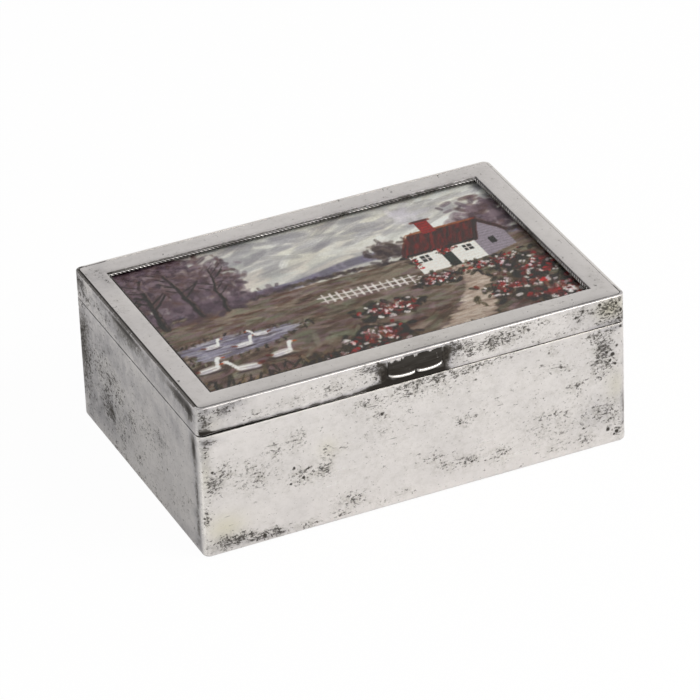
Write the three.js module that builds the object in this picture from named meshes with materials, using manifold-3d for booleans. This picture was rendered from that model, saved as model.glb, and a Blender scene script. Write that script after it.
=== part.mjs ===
import * as THREE from "three";
import { mergeVertices } from "three/addons/utils/BufferGeometryUtils.js";
import Module from "manifold-3d";

const wasm = await Module();
wasm.setup();

// A plated metal keepsake box with a cedar lining and a glazed picture in its hinged lid.
// Sizes are in millimetres. X runs along the length, Y from front to back, Z up from the table.

// Outside
const boxLength = 140;
const boxWidth = 93.5;
const caseHeight = 41.9;
const lidHeight = 9.3;
const cornerRadius = 2.3;
const footRadius = 1.2;
const lidEdgeRadius = 0.5;
const caseSheet = 1;
const lidSheet = 1;
const flangeWidth = 5;
const padProud = 0.4;

// Window in the lid and the layers behind it
const frameBorder = 7.7;
const frameSheet = 0.7;
const windowRecess = 1.2;
const beadDiameter = 0.9;
const glassThickness = 1;
const cardThickness = 0.4;
const backingThickness = 1.2;
const panelThickness = 2.2;

// Thumbpiece
const thumbWidth = 17.6;
const thumbReach = 1.4;
const thumbRise = 2.6;
const thumbEdge = 0.7;
const thumbFeather = 0.3;
const thumbNotch = 1;

// Cedar boards
const boardThickness = 3.2;
const floorThickness = 3;
const partitionThickness = 3;
const partitionDrop = 4;
const grooveDepth = 1;
const lipInset = 0.5;
const lipChamfer = 0.5;

// Hinge
const hingeLength = 120;
const knuckleCount = 5;
const knuckleRadius = 1.5;
const pinRadius = 0.7;
const channelSheet = 0.5;
const axisInset = 0.7;
const openAngle = 100;

// Clearances
const seamGap = 0.3;
const woodFit = 0.3;
const glueGap = 0.2;
const layerGap = 0.1;
const frameJoint = 0.25;
const glassFit = 0.4;
const lipClearance = 0.9;
const pinClearance = 0.1;
const channelClearance = 0.15;
const knuckleGap = 0.3;
const stopSlack = 4;

// Facets on each quarter of a corner, of the hinge and of the bead
const cornerFacets = 6;
const hingeFacets = 6;
const beadFacets = 3;

// Heights
const caseBottom = padProud;
const caseRim = caseBottom + caseHeight;
const hingeHeight = caseRim + seamGap / 2;
const lidBottom = caseRim + seamGap;
const lidTop = lidBottom + lidHeight;
const floorBottom = caseBottom + caseSheet + layerGap;
const floorTop = floorBottom + floorThickness;
const boardBottom = floorTop + layerGap;
const glassTop = lidTop - windowRecess - layerGap;
const cardTop = glassTop - glassThickness - layerGap;
const backingTop = cardTop - cardThickness - layerGap;
const backingBottom = backingTop - backingThickness;
const panelTop = backingBottom - layerGap;
const panelBottom = panelTop - panelThickness;
const lipTop = panelBottom - lipClearance;

// Plan sizes
const boardsLength = boxLength - 2 * (caseSheet + woodFit);
const boardsWidth = boxWidth - 2 * (caseSheet + woodFit);
const boardsRadius = Math.max(cornerRadius - caseSheet - woodFit, 0);
const bandInset = lidSheet + frameJoint;
const frameLength = boxLength - 2 * bandInset;
const frameWidth = boxWidth - 2 * bandInset;
const frameRadius = Math.max(cornerRadius - bandInset, 0);
const windowLength = boxLength - 2 * frameBorder;
const windowWidth = boxWidth - 2 * frameBorder;
const glassLength = frameLength - 2 * (frameSheet + glassFit);
const glassWidth = frameWidth - 2 * (frameSheet + glassFit);
const hingeBack = boxWidth / 2 - axisInset;
const channelBore = knuckleRadius + channelClearance;
const channelRadius = channelBore + channelSheet;
const reliefRadius = channelRadius + glueGap;

const silver = new THREE.MeshStandardMaterial({ color: 0xcfcbc4, metalness: 1, roughness: 0.28 });
const steel = new THREE.MeshStandardMaterial({ color: 0xa8a6a2, metalness: 1, roughness: 0.35 });
const cedar = new THREE.MeshStandardMaterial({ color: 0x9a5f3b, metalness: 0, roughness: 0.6 });
const baize = new THREE.MeshStandardMaterial({ color: 0x1d3a29, metalness: 0, roughness: 0.95 });
const print = new THREE.MeshStandardMaterial({ color: 0xa39a8c, metalness: 0, roughness: 0.7 });
const pasteboard = new THREE.MeshStandardMaterial({ color: 0x9b8767, metalness: 0, roughness: 0.9 });
const clearGlass = new THREE.MeshStandardMaterial({
  color: 0xeef2f0,
  metalness: 0,
  roughness: 0.05,
  transparent: true,
  opacity: 0.2,
});

// Closed body for joining and cutting
function body(geometry) {
  const bare = geometry.clone();
  bare.deleteAttribute("normal");
  bare.deleteAttribute("uv");
  const welded = mergeVertices(bare, 1e-4);
  const mesh = new wasm.Mesh({
    numProp: 3,
    vertProperties: new Float32Array(welded.attributes.position.array),
    triVerts: new Uint32Array(welded.index.array),
  });
  return new wasm.Manifold(mesh);
}

function geometryOf(manifold) {
  const mesh = manifold.getMesh();
  const geometry = new THREE.BufferGeometry();
  geometry.setAttribute("position", new THREE.BufferAttribute(mesh.vertProperties, 3));
  geometry.setIndex(new THREE.BufferAttribute(mesh.triVerts, 1));
  return geometry;
}

function piece(name, geometry, material) {
  const mesh = new THREE.Mesh(geometry, material);
  mesh.name = name;
  return mesh;
}

// Outlines
function rectangle(length, width, radius = 0) {
  const x = length / 2;
  const y = width / 2;
  const shape = new THREE.Shape();
  if (radius <= 0) {
    shape.setFromPoints([
      new THREE.Vector2(-x, -y),
      new THREE.Vector2(x, -y),
      new THREE.Vector2(x, y),
      new THREE.Vector2(-x, y),
    ]);
    return shape;
  }
  const right = x - radius;
  const back = y - radius;
  shape.absarc(right, -back, radius, -Math.PI / 2, 0, false);
  shape.absarc(right, back, radius, 0, Math.PI / 2, false);
  shape.absarc(-right, back, radius, Math.PI / 2, Math.PI, false);
  shape.absarc(-right, -back, radius, Math.PI, 1.5 * Math.PI, false);
  return shape;
}

function polygon(points) {
  return new THREE.Shape(points.map(([x, y]) => new THREE.Vector2(x, y)));
}

function ring(outer, inner) {
  const shape = new THREE.Shape();
  shape.absarc(0, 0, outer, 0, 2 * Math.PI, false);
  const hole = new THREE.Path();
  hole.absarc(0, 0, inner, 0, 2 * Math.PI, true);
  shape.holes.push(hole);
  return shape;
}

function arcStrip(inner, outer, from, to) {
  const shape = new THREE.Shape();
  shape.absarc(0, 0, outer, from, to, false);
  shape.absarc(0, 0, inner, to, from, true);
  return shape;
}

// Outline in X and Y, raised along Z
function raised(shape, bottom, top) {
  const geometry = new THREE.ExtrudeGeometry(shape, {
    depth: top - bottom,
    bevelEnabled: false,
    curveSegments: cornerFacets / 2,
  });
  geometry.translate(0, 0, bottom);
  return geometry;
}

// Outline in Y and Z, run along X
function drawn(shape, left, right) {
  const geometry = new THREE.ExtrudeGeometry(shape, {
    depth: right - left,
    bevelEnabled: false,
    curveSegments: 2 * hingeFacets,
  });
  const turn = new THREE.Matrix4().makeBasis(
    new THREE.Vector3(0, 1, 0),
    new THREE.Vector3(0, 0, 1),
    new THREE.Vector3(1, 0, 0),
  );
  geometry.applyMatrix4(turn);
  geometry.translate(left, 0, 0);
  return geometry;
}

// Rectangular block whose upper and lower edges are rounded
function softBlock(length, width, radius, edge, bottom, top) {
  const geometry = new THREE.ExtrudeGeometry(rectangle(length, width, radius), {
    depth: top - bottom - 2 * edge,
    bevelEnabled: true,
    bevelSize: edge,
    bevelThickness: edge,
    bevelOffset: -edge,
    bevelSegments: beadFacets,
    curveSegments: cornerFacets / 2,
  });
  geometry.translate(0, 0, bottom + edge);
  return geometry;
}

function block(length, width, bottom, top) {
  return raised(rectangle(length, width), bottom, top);
}

// What is cleared from the back walls: the hinge's seat, and a bevel that lets the walls meet as a stop
function hingeRelief() {
  const half = hingeLength / 2 + glueGap;
  const round = new THREE.Shape();
  round.absarc(0, 0, reliefRadius, 0, 2 * Math.PI, false);
  const geometry = drawn(round, -half, half);
  geometry.translate(0, hingeBack, hingeHeight);
  return body(geometry);
}

function stopBevel(side) {
  const reach = 2 * axisInset;
  const angle = THREE.MathUtils.degToRad((openAngle + stopSlack) / 2);
  const wedge = polygon([
    [0, 0],
    [reach, 0],
    [reach, side * reach * Math.tan(angle)],
  ]);
  const geometry = drawn(wedge, -boxLength / 2, boxLength / 2);
  geometry.translate(0, hingeBack, hingeHeight);
  return body(geometry);
}

function caseShell() {
  const innerLength = boxLength - 2 * caseSheet;
  const innerWidth = boxWidth - 2 * caseSheet;
  const innerRadius = Math.max(cornerRadius - caseSheet, 0);
  const blank = softBlock(boxLength, boxWidth, cornerRadius, footRadius, caseBottom, lidTop);
  const below = block(2 * boxLength, 2 * boxWidth, 0, caseRim);
  const inside = raised(rectangle(innerLength, innerWidth, innerRadius), caseBottom + caseSheet, lidTop);
  const underside = block(boxLength - 2 * flangeWidth, boxWidth - 2 * flangeWidth, 0, floorTop);
  const shell = body(blank)
    .intersect(body(below))
    .subtract(body(inside))
    .subtract(body(underside))
    .subtract(hingeRelief())
    .subtract(stopBevel(-1));
  return piece("case_shell", geometryOf(shell), silver);
}

function basePad() {
  const inset = flangeWidth + woodFit;
  const geometry = block(boxLength - 2 * inset, boxWidth - 2 * inset, 0, padProud + caseSheet);
  return piece("base_pad", geometry, baize);
}

function caseFloor() {
  const outline = rectangle(boardsLength, boardsWidth, boardsRadius);
  return piece("case_floor", raised(outline, floorBottom, floorTop), cedar);
}

// Section of a lining board: across from its outer face, and up from its foot
function lippedSection() {
  const rim = caseRim - boardBottom;
  const top = lipTop - boardBottom;
  return polygon([
    [0, 0],
    [boardThickness, 0],
    [boardThickness, top],
    [lipInset + lipChamfer, top],
    [lipInset, top - lipChamfer],
    [lipInset, rim],
    [0, rim],
  ]);
}

function rebatedSection() {
  const rim = caseRim - boardBottom;
  const rebate = axisInset + reliefRadius - caseSheet - woodFit;
  const shoulder = hingeHeight - reliefRadius - boardBottom;
  return polygon([
    [0, 0],
    [boardThickness, 0],
    [boardThickness, rim],
    [rebate, rim],
    [rebate, shoulder],
    [0, shoulder],
  ]);
}

// Board along X with its outer face to the front and both ends mitred
function mitredBoard(section, run) {
  const geometry = drawn(section, -run / 2, run / 2);
  const position = geometry.attributes.position;
  for (let i = 0; i < position.count; i += 1) {
    const end = Math.sign(position.getX(i));
    position.setX(i, end * (run / 2 - glueGap / 2 - position.getY(i)));
  }
  geometry.translate(0, 0, boardBottom);
  return body(geometry);
}

function groove() {
  const top = caseRim - partitionDrop + glueGap;
  const cut = new THREE.BoxGeometry(partitionThickness + 2 * glueGap, 2 * grooveDepth, top - boardBottom);
  cut.translate(0, boardThickness, (top + boardBottom) / 2);
  return body(cut);
}

function liningBoard(name, section, run, outward, turn, grooved) {
  const across = turn % 2 === 0;
  const corners = rectangle(
    across ? boardsLength : boardsWidth,
    across ? boardsWidth : boardsLength,
    boardsRadius,
  );
  const room = raised(corners, boardBottom, lidTop);
  room.translate(0, outward, 0);
  let board = mitredBoard(section, run).intersect(body(room));
  if (grooved) {
    board = board.subtract(groove());
  }
  const geometry = geometryOf(board);
  geometry.translate(0, -outward, 0);
  geometry.rotateZ((turn * Math.PI) / 2);
  return piece(name, geometry, cedar);
}

function lining() {
  const deep = boardsWidth / 2;
  const long = boardsLength / 2;
  return [
    liningBoard("lining_front", lippedSection(), boardsLength, deep, 0, true),
    liningBoard("lining_right", lippedSection(), boardsWidth, long, 1, false),
    liningBoard("lining_back", rebatedSection(), boardsLength, deep, 2, true),
    liningBoard("lining_left", lippedSection(), boardsWidth, long, 3, false),
  ];
}

function partition() {
  const run = boardsWidth - 2 * (boardThickness - grooveDepth + glueGap);
  const geometry = block(partitionThickness, run, boardBottom, caseRim - partitionDrop);
  return piece("partition", geometry, cedar);
}

function lidBand() {
  const innerLength = boxLength - 2 * lidSheet;
  const innerWidth = boxWidth - 2 * lidSheet;
  const innerRadius = Math.max(cornerRadius - lidSheet, 0);
  const blank = softBlock(boxLength, boxWidth, cornerRadius, lidEdgeRadius, caseBottom, lidTop);
  const above = block(2 * boxLength, 2 * boxWidth, lidBottom, 2 * lidTop);
  const inside = raised(rectangle(innerLength, innerWidth, innerRadius), 0, 2 * lidTop);
  const band = body(blank)
    .intersect(body(above))
    .subtract(body(inside))
    .subtract(hingeRelief())
    .subtract(stopBevel(1));
  return piece("lid_band", geometryOf(band), silver);
}

// Pressed frame: flat on top, turned down round the window and inside the band
function lidFrame() {
  const skirtLength = frameLength - 2 * frameSheet;
  const skirtWidth = frameWidth - 2 * frameSheet;
  const skirtRadius = Math.max(frameRadius - frameSheet, 0);
  const web = lidTop - frameSheet;
  const curbLength = windowLength + 2 * frameSheet;
  const curbWidth = windowWidth + 2 * frameSheet;
  const outside = raised(rectangle(frameLength, frameWidth, frameRadius), backingBottom, lidTop);
  const hollow = raised(rectangle(skirtLength, skirtWidth, skirtRadius), 0, web);
  const curb = block(curbLength, curbWidth, lidTop - windowRecess, lidTop);
  const opening = block(windowLength, windowWidth, 0, 2 * lidTop);
  const frame = body(outside)
    .subtract(body(hollow))
    .add(body(curb))
    .subtract(body(opening));
  return piece("lid_frame", geometryOf(frame), silver);
}

function windowBead() {
  const radius = beadDiameter / 2;
  const outline = rectangle(windowLength - 2 * layerGap, windowWidth - 2 * layerGap);
  const inset = 2 * (layerGap + beadDiameter);
  const hole = rectangle(windowLength - inset, windowWidth - inset);
  outline.holes.push(new THREE.Path(hole.getPoints()));
  const geometry = new THREE.ExtrudeGeometry(outline, {
    depth: radius / beadFacets,
    bevelEnabled: true,
    bevelSize: radius - layerGap,
    bevelThickness: radius - radius / beadFacets / 2,
    bevelOffset: layerGap - radius,
    bevelSegments: beadFacets,
  });
  geometry.translate(0, 0, glassTop + layerGap + radius - radius / beadFacets / 2);
  return piece("window_bead", geometry, silver);
}

function pictureLayers() {
  const glass = block(glassLength, glassWidth, glassTop - glassThickness, glassTop);
  const card = block(glassLength, glassWidth, cardTop - cardThickness, cardTop);
  const backing = block(glassLength, glassWidth, backingBottom, backingTop);
  return [
    piece("picture_glass", glass, clearGlass),
    piece("picture_card", card, print),
    piece("picture_backing", backing, pasteboard),
  ];
}

function lidPanel() {
  const inset = lidSheet + woodFit;
  const radius = Math.max(cornerRadius - inset, 0);
  const outline = rectangle(boxLength - 2 * inset, boxWidth - 2 * inset, radius);
  return piece("lid_panel", raised(outline, panelBottom, panelTop), cedar);
}

// Scooped lip: a hollow flare drawn along the front, trimmed to two lobes with a notch between them
function thumbpiece() {
  const foot = lidBottom + thumbRise;
  const edge = foot + thumbEdge;
  const head = lidTop - lidEdgeRadius - seamGap;
  const scoop = new THREE.Shape();
  scoop.moveTo(0, foot);
  scoop.lineTo(0, head);
  scoop.lineTo(-thumbFeather, head);
  scoop.quadraticCurveTo(-thumbFeather, edge, -thumbReach, edge);
  scoop.quadraticCurveTo(-thumbReach - thumbFeather, (edge + foot) / 2, -thumbReach, foot);
  const half = thumbWidth / 2;
  const full = thumbReach + thumbFeather;
  const lobes = new THREE.Shape();
  lobes.moveTo(-half, 0);
  lobes.quadraticCurveTo(-half, -full, -half + 2 * thumbReach, -full);
  lobes.lineTo(-thumbNotch, -full);
  lobes.quadraticCurveTo(-thumbNotch / 2, -full, 0, thumbNotch - full);
  lobes.quadraticCurveTo(thumbNotch / 2, -full, thumbNotch, -full);
  lobes.lineTo(half - 2 * thumbReach, -full);
  lobes.quadraticCurveTo(half, -full, half, 0);
  const lip = body(drawn(scoop, -half, half)).intersect(body(raised(lobes, 0, 2 * lidTop)));
  const geometry = geometryOf(lip);
  geometry.translate(0, -boxWidth / 2 - layerGap, 0);
  return piece("thumbpiece", geometry, silver);
}

// Channel from the seam round to the back face; side is -1 below the seam and 1 above it
function hingeChannel(name, side) {
  const mouth = Math.PI - Math.asin(seamGap / 2 / channelBore);
  const flush = Math.acos(axisInset / channelRadius);
  const strip = side > 0
    ? arcStrip(channelBore, channelRadius, flush, mouth)
    : arcStrip(channelBore, channelRadius, -mouth, -flush);
  const geometry = drawn(strip, -hingeLength / 2, hingeLength / 2);
  geometry.translate(0, hingeBack, hingeHeight);
  return piece(name, geometry, silver);
}

function knuckle(name, place) {
  const pitch = hingeLength / knuckleCount;
  const left = place * pitch - hingeLength / 2 + knuckleGap / 2;
  const geometry = drawn(ring(knuckleRadius, pinRadius + pinClearance), left, left + pitch - knuckleGap);
  geometry.translate(0, hingeBack, hingeHeight);
  return piece(name, geometry, silver);
}

function knuckles(owner, first) {
  const found = [];
  for (let place = first; place < knuckleCount; place += 2) {
    found.push(knuckle(`${owner}_knuckle_${found.length + 1}`, place));
  }
  return found;
}

function hingePin() {
  const wire = new THREE.Shape();
  wire.absarc(0, 0, pinRadius, 0, 2 * Math.PI, false);
  const geometry = drawn(wire, -hingeLength / 2, hingeLength / 2);
  geometry.translate(0, hingeBack, hingeHeight);
  return piece("hinge_pin", geometry, steel);
}

const keepsakeCase = new THREE.Group();
keepsakeCase.name = "case";
keepsakeCase.add(caseShell(), basePad(), caseFloor(), ...lining(), partition());
keepsakeCase.add(hingeChannel("hinge_channel_case", -1), ...knuckles("case", 0), hingePin());

const lid = new THREE.Group();
lid.name = "lid";
lid.add(lidBand(), lidFrame(), windowBead(), ...pictureLayers(), lidPanel(), thumbpiece());
lid.add(hingeChannel("hinge_channel_lid", 1), ...knuckles("lid", 1));

const box = new THREE.Group();
box.name = "keepsake_box";
box.add(keepsakeCase, lid);

export default box;
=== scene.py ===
import math

import bmesh
import bpy
import numpy as np
from mathutils import Matrix, Vector, noise


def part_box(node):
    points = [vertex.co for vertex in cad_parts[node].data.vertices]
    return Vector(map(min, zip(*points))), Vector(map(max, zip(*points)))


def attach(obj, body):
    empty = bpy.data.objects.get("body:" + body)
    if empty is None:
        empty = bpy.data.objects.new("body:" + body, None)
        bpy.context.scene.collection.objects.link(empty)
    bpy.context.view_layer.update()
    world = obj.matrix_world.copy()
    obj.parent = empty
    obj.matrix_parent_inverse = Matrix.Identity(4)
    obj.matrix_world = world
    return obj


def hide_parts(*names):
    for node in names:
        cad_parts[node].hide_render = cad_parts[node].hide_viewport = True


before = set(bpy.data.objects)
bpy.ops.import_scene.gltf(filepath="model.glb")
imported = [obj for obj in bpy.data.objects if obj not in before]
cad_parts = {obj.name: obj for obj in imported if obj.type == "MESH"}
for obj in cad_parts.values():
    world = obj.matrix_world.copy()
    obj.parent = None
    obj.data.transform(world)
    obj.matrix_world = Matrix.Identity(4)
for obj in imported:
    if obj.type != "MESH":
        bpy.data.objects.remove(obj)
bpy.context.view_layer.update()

# Stage
# A pale table under soft studio light, seen from the front left and above with a long lens.
# The table is shown white to the camera, in part also to metal and glass, and keeps the box's shadow.
mm = 0.001
table_shade = (0.86, 0.86, 0.86, 1)
table_white = 0.97
table_gleam = 0.17
table_half = 6
studio_floor = (0.75, 0.73, 0.715, 1)
studio_wall = (0.70, 0.682, 0.668, 1)
studio_wall_height = 0.55
studio_ceiling = (0.3, 0.3, 0.3, 1)
# the camera's place in metres, its angles in degrees and its lens in millimetres
eye_place = (-0.540221, -1.228559, 0.838928)
eye_tilt, eye_roll, eye_turn = 58.819154, 2.075122, -24.987388
lens_length = 265.633

bpy.context.scene.view_settings.view_transform = "Standard"
table_bm = bmesh.new()
bmesh.ops.create_grid(table_bm, x_segments=1, y_segments=1, size=table_half)
table_mesh = bpy.data.meshes.new("table")
table_bm.to_mesh(table_mesh)
table_bm.free()
table = bpy.data.objects.new("table", table_mesh)
bpy.context.collection.objects.link(table)

table_finish = bpy.data.materials.new("pale_table")
table_finish.use_nodes = True
table_tree = table_finish.node_tree
table_tree.nodes.clear()
table_paint = table_tree.nodes.new("ShaderNodeBsdfDiffuse")
table_paint.inputs["Color"].default_value = table_shade
table_glow = table_tree.nodes.new("ShaderNodeEmission")
table_glow.inputs["Color"].default_value = (1, 1, 1, 1)
table_path = table_tree.nodes.new("ShaderNodeLightPath")
table_mirrored = table_tree.nodes.new("ShaderNodeMath")
table_mirrored.operation = "MAXIMUM"
table_faint = table_tree.nodes.new("ShaderNodeMath")
table_faint.operation = "MULTIPLY"
table_faint.inputs[1].default_value = table_gleam
table_share = table_tree.nodes.new("ShaderNodeMath")
table_share.operation = "MULTIPLY_ADD"
table_share.inputs[1].default_value = table_white
table_mix = table_tree.nodes.new("ShaderNodeMixShader")
table_out = table_tree.nodes.new("ShaderNodeOutputMaterial")
table_tree.links.new(table_path.outputs["Is Glossy Ray"], table_mirrored.inputs[0])
table_tree.links.new(table_path.outputs["Is Transmission Ray"], table_mirrored.inputs[1])
table_tree.links.new(table_mirrored.outputs[0], table_faint.inputs[0])
table_tree.links.new(table_path.outputs["Is Camera Ray"], table_share.inputs[0])
table_tree.links.new(table_faint.outputs[0], table_share.inputs[2])
table_tree.links.new(table_share.outputs[0], table_mix.inputs["Fac"])
table_tree.links.new(table_paint.outputs[0], table_mix.inputs[1])
table_tree.links.new(table_glow.outputs[0], table_mix.inputs[2])
table_tree.links.new(table_mix.outputs[0], table_out.inputs["Surface"])
table_mesh.materials.append(table_finish)

studio = bpy.data.worlds.new("studio")
bpy.context.scene.world = studio
studio.use_nodes = True
studio_tree = studio.node_tree
studio_tree.nodes.clear()
studio_place = studio_tree.nodes.new("ShaderNodeTexCoord")
studio_split = studio_tree.nodes.new("ShaderNodeSeparateXYZ")
studio_ramp = studio_tree.nodes.new("ShaderNodeValToRGB")
studio_ramp.color_ramp.elements[0].color = studio_floor
studio_ramp.color_ramp.elements[1].color = studio_ceiling
studio_ramp.color_ramp.elements.new(studio_wall_height).color = studio_wall
studio_walls = studio_tree.nodes.new("ShaderNodeBackground")
studio_white = studio_tree.nodes.new("ShaderNodeBackground")
studio_white.inputs["Color"].default_value = (1, 1, 1, 1)
studio_path = studio_tree.nodes.new("ShaderNodeLightPath")
studio_mix = studio_tree.nodes.new("ShaderNodeMixShader")
studio_out = studio_tree.nodes.new("ShaderNodeOutputWorld")
studio_tree.links.new(studio_place.outputs["Generated"], studio_split.inputs[0])
studio_tree.links.new(studio_split.outputs["Z"], studio_ramp.inputs["Fac"])
studio_tree.links.new(studio_ramp.outputs["Color"], studio_walls.inputs["Color"])
studio_tree.links.new(studio_path.outputs["Is Camera Ray"], studio_mix.inputs["Fac"])
studio_tree.links.new(studio_walls.outputs[0], studio_mix.inputs[1])
studio_tree.links.new(studio_white.outputs[0], studio_mix.inputs[2])
studio_tree.links.new(studio_mix.outputs[0], studio_out.inputs["Surface"])


def softbox(name, place, size, watts, tint):
    lamp = bpy.data.lights.new(name, "AREA")
    lamp.shape = "SQUARE"
    lamp.size = size
    lamp.energy = watts
    lamp.color = tint
    holder = bpy.data.objects.new(name, lamp)
    holder.location = place
    holder.rotation_euler = (-Vector(place)).to_track_quat("-Z", "Y").to_euler()
    bpy.context.collection.objects.link(holder)


softbox("key_softbox", (0.62, -0.7, 0.85), 0.7, 11, (1, 0.96, 0.91))
softbox("fill_softbox", (-0.5, -1.0, 0.5), 0.8, 0.7, (1, 0.985, 0.97))

camera = bpy.data.cameras.new("camera")
camera.sensor_fit = "HORIZONTAL"
camera.sensor_width = 36
camera.lens = lens_length
camera.clip_start = 0.1
camera.clip_end = 20
eye = bpy.data.objects.new("camera", camera)
eye.location = eye_place
eye.rotation_euler = [math.radians(angle) for angle in (eye_tilt, eye_roll, eye_turn)]
bpy.context.collection.objects.link(eye)
bpy.context.scene.camera = eye

# Case shell
# The four outer walls of the case: silver-plated sheet, folded and soldered at the upright corners,
# with the bottom edge turned in as a flange and the back rim cut down for the hinge. The plate is
# worn bright on its edges, and specked and smoked with tarnish where hands and polish don't reach;
# painted highlights lie on the bright edges, and painted shade and dark reflections lie in the smoke.
case_low, case_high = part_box("case_shell")
pin_low, pin_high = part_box("hinge_pin")
hinge_axis = (pin_low + pin_high) / 2
case_sheet = 1.0 * mm
corner_radius = 2.3 * mm
foot_radius = 1.2 * mm
flange = 5 * mm
rim_softness = 0.2 * mm
hinge_half = pin_high.x + 0.2 * mm
hinge_relief = 2.35 * mm
seat_step = 0.01 * mm
stop_slope = math.tan(math.radians(52))
case_grid = 1.8 * mm
case_buckle = 0.035 * mm
# places this near to each other are one, and normals this near to a direction face it
hair = 1e-6
fine_hair = 1e-7
square_on = 0.99


def block(low, high):
    bm = bmesh.new()
    bmesh.ops.create_cube(bm, size=1)
    bmesh.ops.scale(bm, vec=high - low, verts=bm.verts)
    bmesh.ops.translate(bm, vec=(low + high) / 2, verts=bm.verts)
    bm.normal_update()
    return bm


def outermost(bm, direction):
    facing = [f for f in bm.faces if f.normal.dot(direction) > square_on]
    return max(facing, key=lambda f: (round(f.calc_center_median().dot(direction), 6), f.calc_area()))


def soften(bm, edges, radius, segments):
    bmesh.ops.bevel(
        bm, geom=edges, offset=radius, offset_type="OFFSET", affect="EDGES",
        segments=segments, profile=0.5, material=-1,
    )
    bm.normal_update()


def uprights(bm, least):
    return [e for e in bm.edges if abs(e.verts[0].co.z - e.verts[1].co.z) > least]


def level_edges(bm, height):
    return [
        e for e in bm.edges
        if all(abs(v.co.z - height) < hair for v in e.verts) and e.calc_face_angle(0) > 1
    ]


def slice_at(bm, place, normal, faces=None):
    if faces is None:
        cut = bm.verts[:] + bm.edges[:] + bm.faces[:]
    else:
        edges = {e for f in faces for e in f.edges}
        cut = list({v for f in faces for v in f.verts}) + list(edges) + list(faces)
    bmesh.ops.bisect_plane(bm, geom=cut, dist=fine_hair, plane_co=place, plane_no=normal)


def window_in(bm, face, half_length, half_width):
    # cuts a level face along the four sides of a window and gives back the face inside it
    height = face.calc_center_median().z
    way = face.normal.copy()

    def level():
        facing = [f for f in bm.faces if f.normal.dot(way) > square_on]
        return [f for f in facing if abs(f.calc_center_median().z - height) < hair]

    for reach, normal in ((half_length, Vector((1, 0, 0))), (half_width, Vector((0, 1, 0)))):
        for side in (-1, 1):
            slice_at(bm, normal * reach * side, normal, level())
            bm.normal_update()
    inside = [
        f for f in level()
        if all(abs(v.co.x) < half_length + hair and abs(v.co.y) < half_width + hair for v in f.verts)
    ]
    return max(inside, key=lambda f: f.calc_area())


def sink(bm, face, depth):
    moved = bmesh.ops.extrude_face_region(bm, geom=[face])["geom"]
    lowered = [v for v in moved if isinstance(v, bmesh.types.BMVert)]
    bmesh.ops.translate(bm, vec=(0, 0, -depth), verts=lowered)
    bmesh.ops.delete(bm, geom=[face], context="FACES_ONLY")
    bm.normal_update()
    return next(f for f in moved if isinstance(f, bmesh.types.BMFace))


def join_openings(bm):
    bmesh.ops.bridge_loops(bm, edges=[e for e in bm.edges if e.is_boundary])
    bmesh.ops.recalc_face_normals(bm, faces=bm.faces)
    bm.normal_update()


def rule(bm, step, cuts=()):
    # cuts a piece into a grid fine enough to carry buckles and wear; a cut is an axis and a place on it
    low = Vector([min(v.co[k] for v in bm.verts) for k in range(3)])
    high = Vector([max(v.co[k] for v in bm.verts) for k in range(3)])
    for k in range(3):
        normal = Vector((k == 0, k == 1, k == 2))
        count = int((high[k] - low[k]) / step)
        for i in range(1, count):
            slice_at(bm, normal * (low[k] + (high[k] - low[k]) * i / count), normal)
    for k, place in cuts:
        normal = Vector((k == 0, k == 1, k == 2))
        slice_at(bm, normal * place, normal)


def clear_for_hinge(bm, side):
    # side is -1 for the case, below the seam, and 1 for the lid
    seat = hinge_axis.z + side * hinge_relief
    for x in (-hinge_half - seat_step, -hinge_half, hinge_half, hinge_half + seat_step):
        slice_at(bm, Vector((x, 0, 0)), Vector((1, 0, 0)))
    slice_at(bm, Vector((0, 0, seat)), Vector((0, 0, 1)))
    for v in bm.verts:
        behind = v.co.y - hinge_axis.y
        if behind < -case_sheet / 2:
            continue
        if abs(v.co.x) < hinge_half + seat_step / 2:
            v.co.z = side * max(side * v.co.z, side * seat)
        else:
            bevel = hinge_axis.z + side * max(behind, 0) * stop_slope
            v.co.z = side * max(side * v.co.z, side * bevel)
    bmesh.ops.remove_doubles(bm, verts=bm.verts, dist=fine_hair)


def buckle(bm, amount, seed):
    # hand-worked sheet is never quite flat
    bm.normal_update()
    for v in bm.verts:
        wide = noise.noise(v.co * 28 + Vector((seed, 0, 0)))
        close = noise.noise(v.co * 75 + Vector((0, seed, 0)))
        v.co += v.normal * (wide + 0.5 * close) * amount


def spread(place, patches):
    # place is along and up a wall in millimetres; a patch is where it is, its reach each way and its
    # strength, which fades outwards
    total = 0
    for along, up, reach_along, reach_up, strength in patches:
        aside, above = (place[0] - along) / reach_along, (place[1] - up) / reach_up
        total += strength * math.exp(-(aside ** 2) - above ** 2)
    return total


def limited(amount):
    return max(0, min(1, amount))


# how each point of the plate is marked: black specks, a film of soot that also carries painted shade and
# dark reflections, a yellow stain, and rubbed bright, which also carries painted highlights
wear_and_light_kinds = ("specks", "soot_and_shade", "straw", "rubbed_and_highlight")


def mark_wear_and_light(bm, marks_at):
    layers = [bm.verts.layers.float.new(name) for name in wear_and_light_kinds]
    bm.normal_update()
    for v in bm.verts:
        for layer, amount in zip(layers, marks_at(v.co / mm, v.normal)):
            v[layer] = limited(amount)


def settle(bm, name, finish, body, slot, *nodes, sharp=40):
    # makes the piece from its mesh; an edge bent by more than sharp, in degrees, is shaded as an edge
    for f in bm.faces:
        f.smooth = True
    mesh = bpy.data.meshes.new(name)
    bm.to_mesh(mesh)
    bm.free()
    mesh.set_sharp_from_angle(angle=math.radians(sharp))
    mesh.materials.append(finish)
    piece = bpy.data.objects.new(name, mesh)
    bpy.context.collection.objects.link(piece)
    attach(piece, body)
    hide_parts(*nodes)
    return piece


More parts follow.
